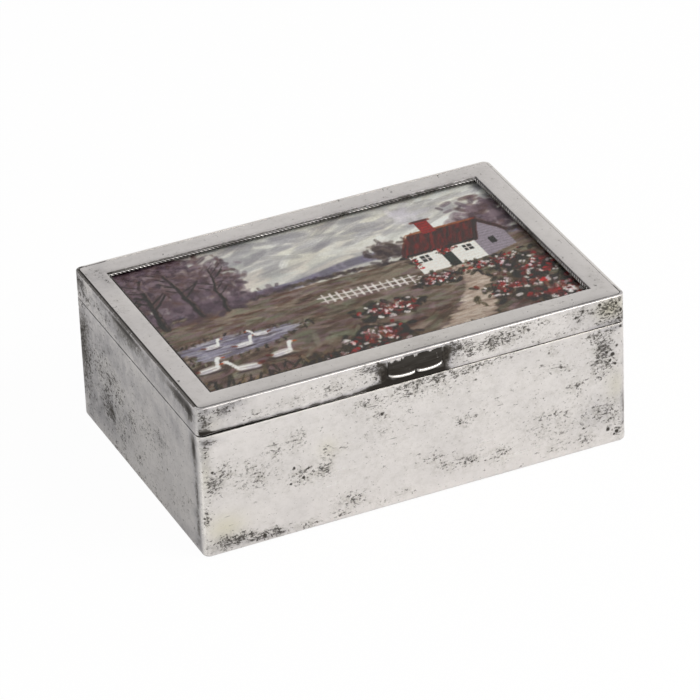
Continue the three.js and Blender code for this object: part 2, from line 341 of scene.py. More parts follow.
class Finish:
    def __init__(self, name):
        self.material = bpy.data.materials.new(name)
        self.material.use_nodes = True
        self.tree = self.material.node_tree
        self.tree.nodes.clear()
        self.out = self.tree.nodes.new("ShaderNodeOutputMaterial")
        self.place = self.tree.nodes.new("ShaderNodeTexCoord").outputs["Object"]

    def feed(self, socket, value):
        if isinstance(value, bpy.types.NodeSocket):
            self.tree.links.new(value, socket)
        else:
            socket.default_value = value

    def node(self, kind, **inputs):
        made = self.tree.nodes.new("ShaderNode" + kind)
        for key, value in inputs.items():
            self.feed(made.inputs[key.replace("_", " ")], value)
        return made

    def math(self, operation, *values, clamp=False):
        made = self.tree.nodes.new("ShaderNodeMath")
        made.operation = operation
        made.use_clamp = clamp
        for socket, value in zip(made.inputs, values):
            self.feed(socket, value)
        return made.outputs[0]

    def vector(self, operation, *values):
        made = self.tree.nodes.new("ShaderNodeVectorMath")
        made.operation = operation
        for socket, value in zip(made.inputs, values):
            self.feed(socket, value)
        return made

    def step(self, value, low, high, start=0.0, end=1.0):
        made = self.tree.nodes.new("ShaderNodeMapRange")
        made.interpolation_type = "SMOOTHSTEP"
        ends = {"Value": value, "From Min": low, "From Max": high, "To Min": start, "To Max": end}
        for name, given in ends.items():
            self.feed(made.inputs[name], given)
        return made.outputs["Result"]

    def grain(self, scale, detail=4.0, rough=0.55, stretch=(1, 1, 1), turn=(0, 0, 0), shift=(0, 0, 0)):
        mapping = self.node("Mapping", Vector=self.place, Scale=stretch, Rotation=turn, Location=shift)
        made = self.node("TexNoise", Vector=mapping.outputs[0], Scale=scale, Detail=detail, Roughness=rough)
        return made.outputs["Fac"]

    def flecks(self, scale, detail, rough, stretch, least, fade):
        # ragged marks wherever a rough grain rises above the least height
        field = self.grain(scale, detail, rough, stretch=stretch, turn=(0.0, 0.12, 0.0), shift=(2, 1, 3))
        return self.step(self.math("SUBTRACT", field, least), 0.0, fade)

    def shaken(self, scale, amount):
        # the place on the piece, pushed about so that what is laid there loses its round outline
        push = self.node("TexNoise", Vector=self.place, Scale=scale, Detail=2.0)
        middle = self.node("Mapping", Vector=push.outputs["Color"], Location=(-0.5, -0.5, -0.5))
        pushed = self.vector("MULTIPLY_ADD", middle.outputs[0], (amount, amount, amount), self.place)
        return pushed.outputs["Vector"]

    def blot(self, place, centre, reach):
        apart = self.vector("DISTANCE", place, centre).outputs["Value"]
        return self.step(apart, reach * 0.55, reach, 1.0, 0.0)

    def mark(self, name):
        made = self.tree.nodes.new("ShaderNodeAttribute")
        made.attribute_name = name
        return made.outputs["Fac"]

    def mix(self, share, a, b):
        made = self.tree.nodes.new("ShaderNodeMix")
        made.data_type = "RGBA"
        self.feed(made.inputs["Factor"], share)
        shades = [socket for socket in made.inputs if socket.type == "RGBA"]
        self.feed(shades[0], a)
        self.feed(shades[1], b)
        return [socket for socket in made.outputs if socket.type == "RGBA"][0]

    def bump(self, height, strength, distance):
        return self.node("Bump", Height=height, Strength=strength, Distance=distance).outputs["Normal"]

    def surface(self, **inputs):
        shader = self.node("BsdfPrincipled", **inputs)
        self.tree.links.new(shader.outputs[0], self.out.inputs["Surface"])
        return self.material


# single blots on the front of the case and the lid: along, up and reach, in millimetres
front_blots = [
    (63.5, 6.0, 0.95), (66.5, 4.6, 0.8), (65.6, 3.8, 0.6), (-37.3, 19.2, 0.75), (-41.4, 18.1, 0.6),
    (-40.2, 23.2, 0.7), (-66.2, 29.5, 0.7), (-11.2, 33.6, 0.6), (17.6, 8.2, 0.6), (-50.6, 2.9, 0.9),
    (68.2, 41.2, 0.7), (61.2, 50.4, 0.7), (63.4, 33.2, 0.75), (65.4, 32.2, 0.85), (64.4, 30.2, 0.6),
    (62.2, 35.8, 0.55), (66.8, 34.8, 0.6), (66.2, 28.6, 0.55), (66.8, 49.6, 0.7), (64.4, 46.4, 0.6),
    (68.4, 46.8, 0.8), (55.6, 49.8, 0.6), (53.2, 48.2, 0.5), (67.6, 44.2, 0.6),
]


def silver_plate():
    plate = Finish("silver_plate")
    bright = (0.803, 0.782, 0.773, 1)
    dull = (0.738, 0.719, 0.714, 1)
    # polished is rubbed silver and also the painted highlight; hazed and sooty are thin and thick soot and
    # also the painted shade
    polished_highlight = (0.95, 0.935, 0.905, 1)
    stained = (0.66, 0.635, 0.48, 1)
    clouded = (0.40, 0.385, 0.345, 1)
    hazed_shade = (0.05, 0.058, 0.105, 1)
    sooty_shade = (0.02, 0.017, 0.014, 1)
    pit = (0.045, 0.04, 0.034, 1)
    specks, soot_and_shade, straw, rubbed_and_highlight = (plate.mark(name) for name in wear_and_light_kinds)

    # black marks of three sizes crowd together, and the blots are laid over them
    gather = plate.step(plate.grain(170, 4, 0.6, shift=(1, 5, 0)), 0.38, 0.62)
    crowd = plate.math("MULTIPLY", specks, plate.math("MULTIPLY_ADD", gather, 0.4, 0.65))
    fleck_least = plate.math("MULTIPLY_ADD", crowd, -0.135, 0.64)
    speck_least = plate.math("MULTIPLY_ADD", crowd, -0.2, 0.665)
    scrape_least = plate.math("MULTIPLY_ADD", crowd, -0.16, 0.74)
    fleck = plate.flecks(600, 5, 0.8, (0.6, 0.6, 1), fleck_least, 0.05)
    speck = plate.flecks(1250, 3, 0.7, (0.65, 0.65, 1), speck_least, 0.06)
    scrape = plate.flecks(900, 2, 0.6, (0.12, 0.12, 1), scrape_least, 0.06)
    fleck_depth = plate.step(plate.grain(300, 2, 0.5, shift=(3, 0, 2)), 0.35, 0.65, 0.5, 1.0)
    speck_depth = plate.step(crowd, 0.1, 0.7, 0.55, 0.9)
    mark = plate.math("MULTIPLY", fleck, fleck_depth)
    mark = plate.math("MAXIMUM", mark, plate.math("MULTIPLY", speck, speck_depth))
    mark = plate.math("MAXIMUM", mark, plate.math("MULTIPLY", scrape, 0.6))
    loose = plate.shaken(900.0, 0.9 * mm)
    for along, up, reach in front_blots:
        centre = (along * mm, case_low.y, up * mm)
        mark = plate.math("MAXIMUM", mark, plate.blot(loose, centre, reach * mm))

    # soot, and the painted shade laid with it, lies as an uneven film, frayed where it ends
    film = plate.step(plate.grain(210, 6, 0.7, shift=(0, 2, 7)), 0.3, 0.68, 0.35, 1.0)
    frayed = plate.math("ADD", plate.grain(900, 4, 0.7, shift=(6, 1, 2)), soot_and_shade)
    soot_shade_film = plate.math("MULTIPLY", soot_and_shade, plate.math("MAXIMUM", film, plate.step(frayed, 1.08, 1.34)))

    colour = plate.mix(plate.step(plate.grain(60, 5, 0.6), 0.35, 0.7), bright, dull)
    mottle = plate.grain(480, 5, 0.75, stretch=(0.7, 0.7, 1), shift=(5, 2, 8))
    colour = plate.mix(plate.step(mottle, 0.45, 0.75, 0.0, 0.24), colour, clouded)
    colour = plate.mix(plate.math("MULTIPLY", straw, 0.8), colour, stained)
    # rubbed bright: worn silver and painted highlights
    colour = plate.mix(rubbed_and_highlight, colour, polished_highlight)
    pepper = plate.step(plate.grain(800, 4, 0.7, shift=(4, 4, 1)), 0.42, 0.62, 0.08, 0.7)
    colour = plate.mix(plate.math("MULTIPLY", crowd, pepper), colour, clouded)
    # soot darkens the plate, and with it the painted shade and dark reflections
    colour = plate.mix(soot_shade_film, colour, plate.mix(plate.step(soot_shade_film, 0.4, 0.75), hazed_shade, sooty_shade))
    colour = plate.mix(plate.math("MULTIPLY", mark, 0.95), colour, pit)

    wiped = plate.grain(260, 3, 0.6, stretch=(0.12, 0.12, 1), turn=(0.05, 0.03, 0))
    rough = plate.math("MULTIPLY_ADD", mark, 0.25, plate.step(wiped, 0.3, 0.75, 0.27, 0.38))
    rough = plate.math("MULTIPLY_ADD", rubbed_and_highlight, -0.08, rough)
    rough = plate.math("MULTIPLY_ADD", soot_shade_film, 0.2, rough, clamp=True)
    height = plate.math("MULTIPLY_ADD", plate.grain(420, 3, 0.5), 0.2, plate.math("MULTIPLY", mark, -1.0))
    return plate.surface(
        Base_Color=colour,
        Metallic=plate.math("MULTIPLY_ADD", soot_shade_film, -0.92, 1.0),
        Roughness=rough,
        Specular_IOR_Level=plate.math("MULTIPLY_ADD", soot_shade_film, -0.38, 0.5),
        Normal=plate.bump(height, 0.25, 0.06 * mm),
    )


plated = silver_plate()

case_bm = block(case_low, case_high)
soften(case_bm, uprights(case_bm, 30 * mm), corner_radius, 8)
soften(case_bm, outermost(case_bm, Vector((0, 0, -1))).edges[:], foot_radius, 5)
mouth = outermost(case_bm, Vector((0, 0, 1)))
bmesh.ops.inset_region(case_bm, faces=[mouth], thickness=case_sheet, use_even_offset=True)
bed = sink(case_bm, mouth, case_high.z - case_low.z - case_sheet)
flange_hole = (case_high.x - flange, case_high.y - flange)
bmesh.ops.delete(case_bm, geom=[window_in(case_bm, bed, *flange_hole)], context="FACES")
sole = outermost(case_bm, Vector((0, 0, -1)))
bmesh.ops.delete(case_bm, geom=[window_in(case_bm, sole, *flange_hole)], context="FACES")
join_openings(case_bm)
soften(case_bm, level_edges(case_bm, case_high.z), rim_softness, 2)
rim_cuts = [(2, case_high.z - reach * mm) for reach in (0.5, 1.0, 1.7)]
corner_cuts = [(k, case_low[k] + corner_radius + reach * mm) for k in (0, 1) for reach in (0.6, 1.4, 2.4)]
rule(case_bm, case_grid, rim_cuts + corner_cuts)
clear_for_hinge(case_bm, -1)
buckle(case_bm, case_buckle, 3)

# patches of wear: along and up the wall, reach along and up, all in millimetres, and strength
front_specks = [
    (-31, 19.5, 2.8, 2.0, 1.0), (-38, 20, 5, 3, 0.75), (-52.7, 25, 6, 5.5, 0.72),
    (-66.4, 24, 2.6, 3.5, 0.95), (-63, 28.2, 4, 4, 0.75), (-68, 34, 1.6, 8, 0.6), (-66.8, 40, 3, 2, 0.75),
    (-68.6, 14, 1.6, 5, 0.8), (-61, 5.6, 7, 2.0, 1.0), (-63, 2.8, 7, 1.6, 1.0), (-50.8, 3.3, 5, 1.8, 1.0),
    (-45, 2.8, 6, 1.4, 0.85), (-36, 2.6, 4, 1.3, 1.0), (-22, 7, 6, 3, 0.75), (-11.2, 33.5, 2.4, 0.8, 0.7),
    (-11, 29, 6, 4, 0.4), (-15, 38.2, 9, 3, 0.6), (-39, 32.7, 3.4, 4, 0.7), (-46, 31.7, 2, 3.5, 0.7),
    (-28.7, 24.3, 3, 2.4, 0.7), (-25, 2.9, 3, 1.2, 1.0), (-12, 2.9, 3, 1.2, 1.0), (-4, 4.4, 4, 1.4, 0.85),
    (-1, 38.5, 9, 3, 0.5), (1, 41, 8, 1.6, 0.5), (11.2, 41, 9, 1.7, 0.52), (21.6, 41.2, 8, 1.5, 0.55),
    (30, 41.4, 6, 1.1, 0.45), (10, 37.5, 12, 3, 0.4), (15.4, 23.4, 2.6, 1.6, 0.8),
    (44.5, 39.4, 2.4, 2, 0.9), (47.8, 32.2, 5, 1, 1.0), (62.5, 34.5, 4.2, 4.6, 1.0),
    (62, 40.3, 6, 2.2, 1.0), (62, 27.7, 5, 3, 0.9), (52.8, 23.8, 3.4, 2.2, 0.7), (45, 17.1, 4.6, 1.1, 0.9),
    (60, 13, 7, 4.8, 0.68), (66.5, 7, 3, 5, 0.8), (55.6, 4.1, 4, 2.4, 0.7), (4.5, 13, 5, 1.6, 0.55),
    (10.4, 9.5, 4.6, 2.6, 0.52), (17, 9, 4, 2.2, 0.6), (27.2, 7.5, 3.4, 2.6, 0.7), (44, 10.8, 8, 4, 0.45),
    (45.8, 4.4, 3.2, 1.6, 0.65), (0, 22, 70, 24, 0.22), (46, 24, 30, 20, 0.12),
]
front_smoke = [
    (-68.4, 36, 1.8, 6, 0.4), (-66.8, 40.2, 4, 1.4, 0.5), (-66, 24, 2.4, 3, 0.25), (-62, 4, 8, 2.6, 0.4),
    (-50, 2.4, 9, 1, 0.4), (69, 12, 1.0, 7, 0.75), (66.5, 41.2, 5, 0.8, 0.7), (63, 34.4, 3, 3.4, 0.3),
    (60, 12.4, 6, 4, 0.24), (69.4, 30, 0.8, 9, 0.4), (66, 24, 7, 18, 0.13), (-40, 8, 40, 8, 0.05),
]
front_straw = [
    (-63, 9.5, 6, 4.5, 0.8), (-68.5, 30, 1.4, 7, 0.5), (66.5, 21, 3, 5, 0.5), (-29, 27, 3.4, 3.4, 0.4),
]
left_specks = [
    (24.2, 13.8, 5, 5, 0.6), (16.5, 22, 5, 5, 0.5), (14.3, 10.3, 4, 3.4, 0.5), (27.6, 26, 8, 6, 0.4),
    (5.6, 17.6, 3, 4, 0.4), (-16.7, 24.3, 3.4, 4, 0.5), (-4.2, 24.3, 5, 3.4, 0.3), (1.7, 9, 4, 3, 0.3),
    (-28, 11.5, 5, 3.4, 0.3), (43, 36, 5, 12, 0.65), (41, 14, 5, 12, 0.35), (0, 20, 70, 30, 0.36),
    (30, 20, 18, 16, 0.2), (10, 2, 30, 2, 0.4), (-36, 16, 4, 2, 0.35),
]
# soot on the left wall, with painted shade over the whole wall and painted dark reflections in bands beside
# the front corner
left_soot_and_shade = [
    (24, 15, 13, 9, 0.3), (22, 13.5, 4, 4, 0.3), (10, 19, 4, 5, 0.12), (-4, 16, 12, 8, -0.1),
    (-42.8, 38, 2.2, 7, 0.75), (-43.2, 22, 2.2, 10, 0.68), (-43.0, 8, 2.4, 7, 0.62), (43, 26, 6, 20, 0.35),
    (0, 26, 80, 30, 0.24), (35, 8, 14, 8, 0.3), (-32, 2.5, 10, 3, 0.35), (3, 33, 10, 5, 0.16),
    (-16.7, 25, 5, 4, 0.2), (28, 37, 20, 7, 0.42), (-25, 37, 14, 6, 0.3), (42, 24, 10, 12, 0.3),
]
# what lies nearer the front than this is the front wall's
front_strip = -44.4


def wear_at_random(place, height):
    # the back and right walls: specks and smoke that drift along the wall, thicker at foot and corners
    spot = Vector((place[0] * 0.55, place[1] * 0.55, place[2]))
    cluster = max(0, noise.fractal(spot * 0.07, 0.55, 2.3, 5) - 0.08)
    cloud = max(0, noise.fractal(spot * 0.035 + Vector((7, 3, 1)), 0.7, 2.1, 4) + 0.05)
    from_end, from_side = case_high.x / mm - abs(place[0]), case_high.y / mm - abs(place[1])
    corner = math.exp(-(from_end / 2.5) ** 2 - (from_side / 2.5) ** 2)
    foot = math.exp(-((height / 3) ** 2)) * max(0, 0.2 + noise.noise(spot * 0.09 + Vector((0, 9, 4))))
    specks = 0.2 + 0.6 * cluster + foot + 0.5 * corner
    soot_and_shade = 0.04 + 0.22 * cloud + 0.1 * cluster + 0.3 * foot + 0.3 * corner
    return specks, soot_and_shade


def rubbed_corner_highlight(normal):
    # an upright corner is rubbed bright and carries a painted highlight, most of all on the half that faces
    # the end of the box
    return min(1, 2.4 * abs(normal.x * normal.y)) * (1 if abs(normal.x) > 0.6 else 0.25)


def case_marks(place, normal):
    x, y, z = place
    corner = rubbed_corner_highlight(normal)
    # rim tops: rubbed bright at the front as a painted highlight line, painted dark elsewhere as the shade
    # of the seam
    if normal.z > 0.2:
        return (0.1, 0.0, 0.0, 0.9) if y < front_strip else (0.4, 0.7, 0.0, 0.0)
    if normal.y < -0.7:
        # a painted highlight line along the top of the front wall, with the rubbing
        rim = math.exp(-((z - case_high.z / mm) / 0.3) ** 2)
        wear = [spread((x, z), patches) for patches in (front_specks, front_smoke, front_straw)]
        return *wear, corner + rim
    if normal.x < -0.7:
        return spread((y, z), left_specks), spread((y, z), left_soot_and_shade), 0.05, corner
    return *wear_at_random(place, z), 0.05, corner


mark_wear_and_light(case_bm, case_marks)
settle(case_bm, "case_sheet", plated, "case", "silver_plate", "case_shell")

# Base pad
# A rectangle of green baize glued under the case, a little proud of the turned-in flange, so that
# the box stands on cloth. Its cut edge is soft and its nap uneven.
pad_low, pad_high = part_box("base_pad")
pad_corner = 1.0 * mm
pad_softness = 0.3 * mm
pad_grid = 4 * mm


def baize_cloth():
    cloth = Finish("baize")
    deep = (0.012, 0.042, 0.022, 1)
    raised = (0.035, 0.095, 0.055, 1)
    nap = cloth.grain(2600, 5, 0.7)
    worn = cloth.grain(90, 4, 0.6)
    share = cloth.math("MULTIPLY_ADD", worn, 0.5, cloth.math("MULTIPLY", nap, 0.6))
    colour = cloth.mix(cloth.step(share, 0.35, 0.75), deep, raised)
    rough = cloth.step(nap, 0.3, 0.7, 0.85, 1.0)
    relief = cloth.bump(nap, 0.6, 0.15 * mm)
    return cloth.surface(Base_Color=colour, Roughness=rough, Sheen_Weight=0.4, Normal=relief)


def creases(bm, least=1.0):
    return [e for e in bm.edges if e.is_manifold and e.calc_face_angle(0) > least]


pad_bm = block(pad_low, pad_high)
soften(pad_bm, uprights(pad_bm, 0.5 * mm), pad_corner, 3)
soften(pad_bm, creases(pad_bm), pad_softness, 2)
rule(pad_bm, pad_grid)
settle(pad_bm, "baize_pad", baize_cloth(), "case", "baize", "base_pad")

# Cedar lining
# Thin cedar boards, planed and left bare: a floor on the flange, four mitred sides standing on it and
# a divider housed in the long sides. The front and side boards stand above the rim to locate the lid.
board_softness = 0.2 * mm
divider_softness = 0.25 * mm
# how far in from its outer face, and from how far below the rim, a board carries the painted seam shade
seam_shade_depth = 0.85 * mm
seam_shade_below_rim = 0.5 * mm
crisp = 20


def softened(node, radius):
    # a copy of the solid with its edges taken off
    bm = bmesh.new()
    bm.from_mesh(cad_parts[node].data)
    bmesh.ops.remove_doubles(bm, verts=bm.verts, dist=hair)
    bmesh.ops.dissolve_limit(bm, angle_limit=math.radians(2), verts=bm.verts, edges=bm.edges)
    bm.normal_update()
    soften(bm, creases(bm, 0.6), radius, 2)
    return bm


def cedar_wood(name, along):
    wood = Finish(name)
    heart = (0.36, 0.15, 0.072, 1)
    late = (0.20, 0.07, 0.032, 1)
    pore = (0.10, 0.035, 0.018, 1)
    seam_darkness = (0.012, 0.009, 0.007, 1)
    stretch = [1, 1, 1]
    stretch[along] = 0.06
    fleck = [1, 1, 1]
    fleck[along] = 0.035
    rings = wood.grain(330, 4, 0.6, stretch=fleck)
    fibres = wood.grain(1500, 3, 0.6, stretch=stretch, shift=(2, 3, 5))
    pores = wood.grain(2600, 2, 0.5, stretch=fleck, shift=(5, 1, 2))
    colour = wood.mix(wood.step(rings, 0.35, 0.68), heart, late)
    colour = wood.mix(wood.step(fibres, 0.4, 0.75, 0.0, 0.3), colour, late)
    colour = wood.mix(wood.step(pores, 0.62, 0.72, 0.0, 0.8), colour, pore)
    # near-black painted shade of the seam
    colour = wood.mix(wood.mark("seam_shade"), colour, seam_darkness)
    height = wood.math("SUBTRACT", fibres, wood.step(pores, 0.6, 0.72))
    rough = wood.step(fibres, 0.3, 0.7, 0.52, 0.68)
    return wood.surface(Base_Color=colour, Roughness=rough, Normal=wood.bump(height, 0.4, 0.08 * mm))


def paint_seam_shade(bm):
    # a board that stands above the rim is painted black outside, as the shade inside the closed seam
    layer = bm.verts.layers.float.new("seam_shade")
    reach = (max(abs(v.co.x) for v in bm.verts), max(abs(v.co.y) for v in bm.verts))
    for v in bm.verts:
        outer = min(reach[0] - abs(v.co.x), reach[1] - abs(v.co.y)) < seam_shade_depth
        v[layer] = 1 if outer and v.co.z > case_high.z - seam_shade_below_rim else 0


cedar_long = cedar_wood("cedar_long_grain", 0)
cedar_short = cedar_wood("cedar_short_grain", 1)
for node, name, cedar, above_rim in (
    ("case_floor", "floor_board", cedar_long, False),
    ("lining_front", "front_board", cedar_long, True),
    ("lining_back", "back_board", cedar_long, False),
    ("lining_left", "left_board", cedar_short, True),
    ("lining_right", "right_board", cedar_short, True),
):
    board_bm = softened(node, board_softness)
    if above_rim:
        paint_seam_shade(board_bm)
    settle(board_bm, name, cedar, "case", "cedar", node, sharp=crisp)
divider_bm = softened("partition", divider_softness)
settle(divider_bm, "divider_board", cedar_short, "case", "cedar", "partition", sharp=crisp)

# Hinge
# Five tubes of plated sheet on one steel wire, soldered by turns to a rolled channel on the case and
# one on the lid. The tubes' ends are filed off, and the wire is cut flush.
knuckle_bore = 0.8 * mm
knuckle_edge = 0.12 * mm
knuckle_facets = 28
knuckle_grid = 4 * mm
channel_edge = 0.1 * mm
wire_edge = 0.2 * mm


def hinge_wire():
    wire = Finish("hinge_wire")
    steel = (0.46, 0.45, 0.44, 1)
    rusty = (0.20, 0.12, 0.08, 1)
    drawn = wire.grain(900, 3, 0.6, stretch=(0.02, 1, 1))
    rust = wire.step(wire.grain(700, 4, 0.6, shift=(1, 1, 1)), 0.6, 0.75, 0.0, 0.5)
    colour = wire.mix(rust, steel, rusty)
    rough = wire.step(drawn, 0.3, 0.7, 0.3, 0.5)
    relief = wire.bump(drawn, 0.2, 0.03 * mm)
    return wire.surface(Base_Color=colour, Metallic=1.0, Roughness=rough, Normal=relief)


def tarnished(bm, specks, soot_and_shade):
    mark_wear_and_light(bm, lambda place, normal: (specks, soot_and_shade, 0.1, 0.0))
    return bm


def tube(node):
    # the cut wall of the tube, spun round the hinge's axis
    low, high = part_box(node)
    outer = (high.z - low.z) / 2
    bm = bmesh.new()
    bmesh.ops.create_grid(bm, x_segments=1, y_segments=1, size=0.5)
    bmesh.ops.scale(bm, vec=(high.x - low.x, outer - knuckle_bore, 1), verts=bm.verts)
    wall = (outer + knuckle_bore) / 2
    bmesh.ops.translate(bm, vec=((low.x + high.x) / 2, hinge_axis.y + wall, hinge_axis.z), verts=bm.verts)
    bmesh.ops.delete(bm, geom=bm.faces[:], context="FACES_ONLY")
    bmesh.ops.spin(
        bm, geom=bm.verts[:] + bm.edges[:], cent=hinge_axis, axis=(1, 0, 0),
        angle=2 * math.pi, steps=knuckle_facets, use_merge=True,
    )
    bmesh.ops.recalc_face_normals(bm, faces=bm.faces)
    bm.normal_update()
    soften(bm, creases(bm), knuckle_edge, 2)
    rule(bm, knuckle_grid)
    return tarnished(bm, 0.45, 0.2)


for number in (1, 2, 3):
    node = f"case_knuckle_{number}"
    settle(tube(node), f"case_tube_{number}", plated, "case", "silver_plate", node)
case_channel = tarnished(softened("hinge_channel_case", channel_edge), 0.4, 0.25)
settle(case_channel, "case_channel", plated, "case", "silver_plate", "hinge_channel_case", sharp=crisp)

wire_bm = bmesh.new()
wire_radius = (pin_high.z - pin_low.z) / 2
wire_stand = Matrix.Translation(hinge_axis) @ Matrix.Rotation(math.pi / 2, 4, "Y")
bmesh.ops.create_cone(
    wire_bm, cap_ends=True, segments=24, radius1=wire_radius, radius2=wire_radius,
    depth=pin_high.x - pin_low.x, matrix=wire_stand,
)
wire_bm.normal_update()
soften(wire_bm, creases(wire_bm), wire_edge, 3)
settle(wire_bm, "hinge_wire", hinge_wire(), "case", "hinge_wire", "hinge_pin")

# Lid band
# The upright walls of the lid: a strip of the same plated sheet bent round four corners, its upper
# edge rounded over. Its lower edge has sprung a little at the front left, so the seam opens there.
band_low, band_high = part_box("lid_band")
band_sheet = 1.0 * mm
band_edge = 0.32 * mm
band_grid = 1.2 * mm
band_buckle = 0.03 * mm
spring_rise = 0.5 * mm
spring_height = 1.6 * mm
spring_depth = 1.5 * mm
# from the corner in millimetres: where the edge has sprung furthest, and how far on it closes again
spring_start = 6
spring_reach = 30
# heights in millimetres where the soot, with painted shade, under the upper edge and the rubbing, with a
# painted highlight, of the upper edge begin
top_soot_and_shade = 51.2
top_rubbed_highlight = 51.5

band_bm = block(band_low, band_high)
soften(band_bm, uprights(band_bm, 8 * mm), corner_radius, 8)
for way in (1, -1):
    cap = outermost(band_bm, Vector((0, 0, way)))
    bmesh.ops.inset_region(band_bm, faces=[cap], thickness=band_sheet, use_even_offset=True)
    bmesh.ops.delete(band_bm, geom=[cap], context="FACES")
join_openings(band_bm)
outer_top = [
    e for e in level_edges(band_bm, band_high.z)
    if all(f.normal.z > 0.9 or f.normal.dot(f.calc_center_median()) > 0 for f in e.link_faces)
]
soften(band_bm, outer_top, band_edge, 4)
soften(band_bm, level_edges(band_bm, band_low.z), rim_softness, 2)
edge_cuts = [(2, band_low.z + reach * mm) for reach in (0.4, 0.8, 1.2)]
rule(band_bm, band_grid, edge_cuts + corner_cuts)
clear_for_hinge(band_bm, 1)
for v in band_bm.verts:
    rise = max(0, 1 - (v.co.z - band_low.z) / spring_height)
    if v.co.y < band_low.y + spring_depth and rise > 0:
        from_corner = (v.co.x - band_low.x) / mm
        closing = math.exp(-(max(0, from_corner - spring_start) / spring_reach) ** 2)
        v.co.z += spring_rise * rise * min(1, from_corner / spring_start) * closing
buckle(band_bm, band_buckle, 8)

band_front_specks = [
    (65.5, 48.5, 6, 4, 1.1), (66, 44, 5, 2, 0.9), (54, 49.2, 4, 2.6, 1.0), (42.5, 49.8, 9, 2, 0.5),
    (32, 48.6, 9, 3.4, 0.5), (23.7, 46.8, 9, 3, 0.65), (13.5, 49.4, 4, 2.4, 0.9), (-68, 47, 3, 5, 0.9),
    (-60, 50.6, 6, 1.6, 0.85), (-61.6, 48.4, 3, 2, 0.6), (-49.3, 45.2, 8, 2, 0.6), (-30, 46, 14, 3, 0.36),
    (-20, 48, 14, 4, 0.3), (-11.6, 47, 1.8, 4, 1.0), (-14.4, 50.4, 3.4, 1.4, 1.0), (0, 47, 60, 6, 0.2),
    (11.4, 46.6, 2.6, 3.2, 1.0), (15.6, 47.2, 4, 3.6, 0.5), (48, 44, 12, 1.4, 0.5),
]
# soot on the lid's front wall, with painted shadow under the thumbpiece's lip and around it
band_front_soot_and_shade = [
    (0, 47.6, 8.8, 3.4, 1.6), (-9.4, 46.8, 1.3, 3.4, 0.6), (9.3, 48, 1.3, 2.8, 0.5), (0, 44, 9.4, 1.4, 1.0),
    (9.8, 49.6, 1.4, 1.6, 0.5), (11.4, 49.4, 2.4, 1.8, 0.35), (9.8, 46.6, 1.4, 2.6, 0.45),
    (11.8, 46.4, 2.4, 2.8, 0.34), (13, 50.4, 3, 1.2, 0.4), (-10.2, 46.6, 1.1, 3.0, 0.7),
    (-10.9, 50.9, 1.6, 0.8, 0.6), (-14.4, 50.7, 2.6, 1.0, 0.5), (-12.8, 49.6, 2.0, 1.2, 0.4),
    (-11.6, 47.4, 1.0, 1.8, 0.45), (-12.4, 43.6, 3.4, 1.2, 0.8), (-68, 47, 2.2, 2.4, 0.6),
    (-68, 44, 3, 1.2, 0.6), (-67.4, 51, 2, 0.8, 0.6), (-59.5, 50.8, 5, 0.9, 0.5),
    (-61.6, 48.6, 2, 1.6, 0.35), (66, 43.4, 6, 1.0, 0.5), (64, 47.5, 9, 4, 0.24), (54, 47.5, 7, 4, 0.14),
    (-62, 46.5, 9, 5, 0.32),
]
band_front_straw = [(65, 48.5, 5, 3.4, 1.0), (-66, 46, 4, 4, 0.3)]
# soot on the lid's left wall, with painted shade over the whole wall
band_left_soot_and_shade = [
    (-36, 50, 9, 3, 0.44), (-41.6, 47, 3, 4.4, 0.38), (-26, 50.4, 16, 2.0, 0.28), (-33, 46, 7, 3, 0.12),
    (6, 50.8, 14, 1.4, 0.35), (22, 51, 22, 1.2, 0.3), (43, 48, 3, 4, 0.35), (0, 47, 70, 6, 0.56),
    (4, 48.5, 14, 3, 0.26),
]
band_left_specks = [(42.7, 47.8, 5, 5, 1.0), (28, 46.5, 12, 4, 0.4), (0, 47, 60, 6, 0.3)]


def seam_soot_and_shade(x, z):
    # black along the front seam, thick as far as the thumbpiece and thin after it: tarnish on the lid's
    # lower edge and painted shade of the gap
    seam = band_low.z / mm
    seam_darkness = 1.15 if x < 6 else max(0.35, 1.15 - 0.1 * (x - 6))
    seam_darkness *= 0.85 + 0.3 * noise.noise(Vector((x * 0.35, 0, 0)))
    fading = 0.95 - 0.4 * limited((x + 34) / 24)
    return limited(seam_darkness - fading * max(0, z - seam - 0.5))


def band_marks(place, normal):
    x, y, z = place
    corner = rubbed_corner_highlight(normal)
    inward = normal.x * x + normal.y * y < -10
    if inward:
        return 0.1, 1.0 if y < -40 or x < -60 else 0.0, 0.0, 0.3
    if normal.z > 0.4:
        # the upper edge is dark beside the joint at the front and the left, and bright elsewhere: at the
        # front this is painted shade dimming its highlight, at the left a painted dark reflection, and
        # elsewhere a painted highlight over the rubbing
        if y < front_strip:
            return 0.1, 0.3 if y < -46.2 else 0.4, 0.0, 0.2
        return (0.1, 0.85, 0.0, 0.2) if x < -67 else (0.05, 0.0, 0.0, 0.8)
    if normal.y < -0.7:
        specks, soot_and_shade, straw = (
            spread((x, z), patches) for patches in (band_front_specks, band_front_soot_and_shade, band_front_straw)
        )
        # the seam below is blackened, under the upper edge the wall is a little sooty with painted shade
        # that dims the edge's highlight, and the edge itself is rubbed with a painted highlight
        soot_and_shade += seam_soot_and_shade(x, z) + 0.2 * limited((z - top_soot_and_shade) / 0.3)
        return specks, soot_and_shade, straw, corner + max(0, (z - top_rubbed_highlight) / 0.8)
    if normal.x < -0.7:
        seam = 0.8 * max(0, 1 - abs(z - band_low.z / mm) / 0.4)
        return spread((y, z), band_left_specks), spread((y, z), band_left_soot_and_shade) + seam, 0.05, corner
    return *wear_at_random(place, z - band_low.z / mm), 0.05, corner


mark_wear_and_light(band_bm, band_marks)
settle(band_bm, "lid_walls", plated, "lid", "silver_plate", "lid_band")

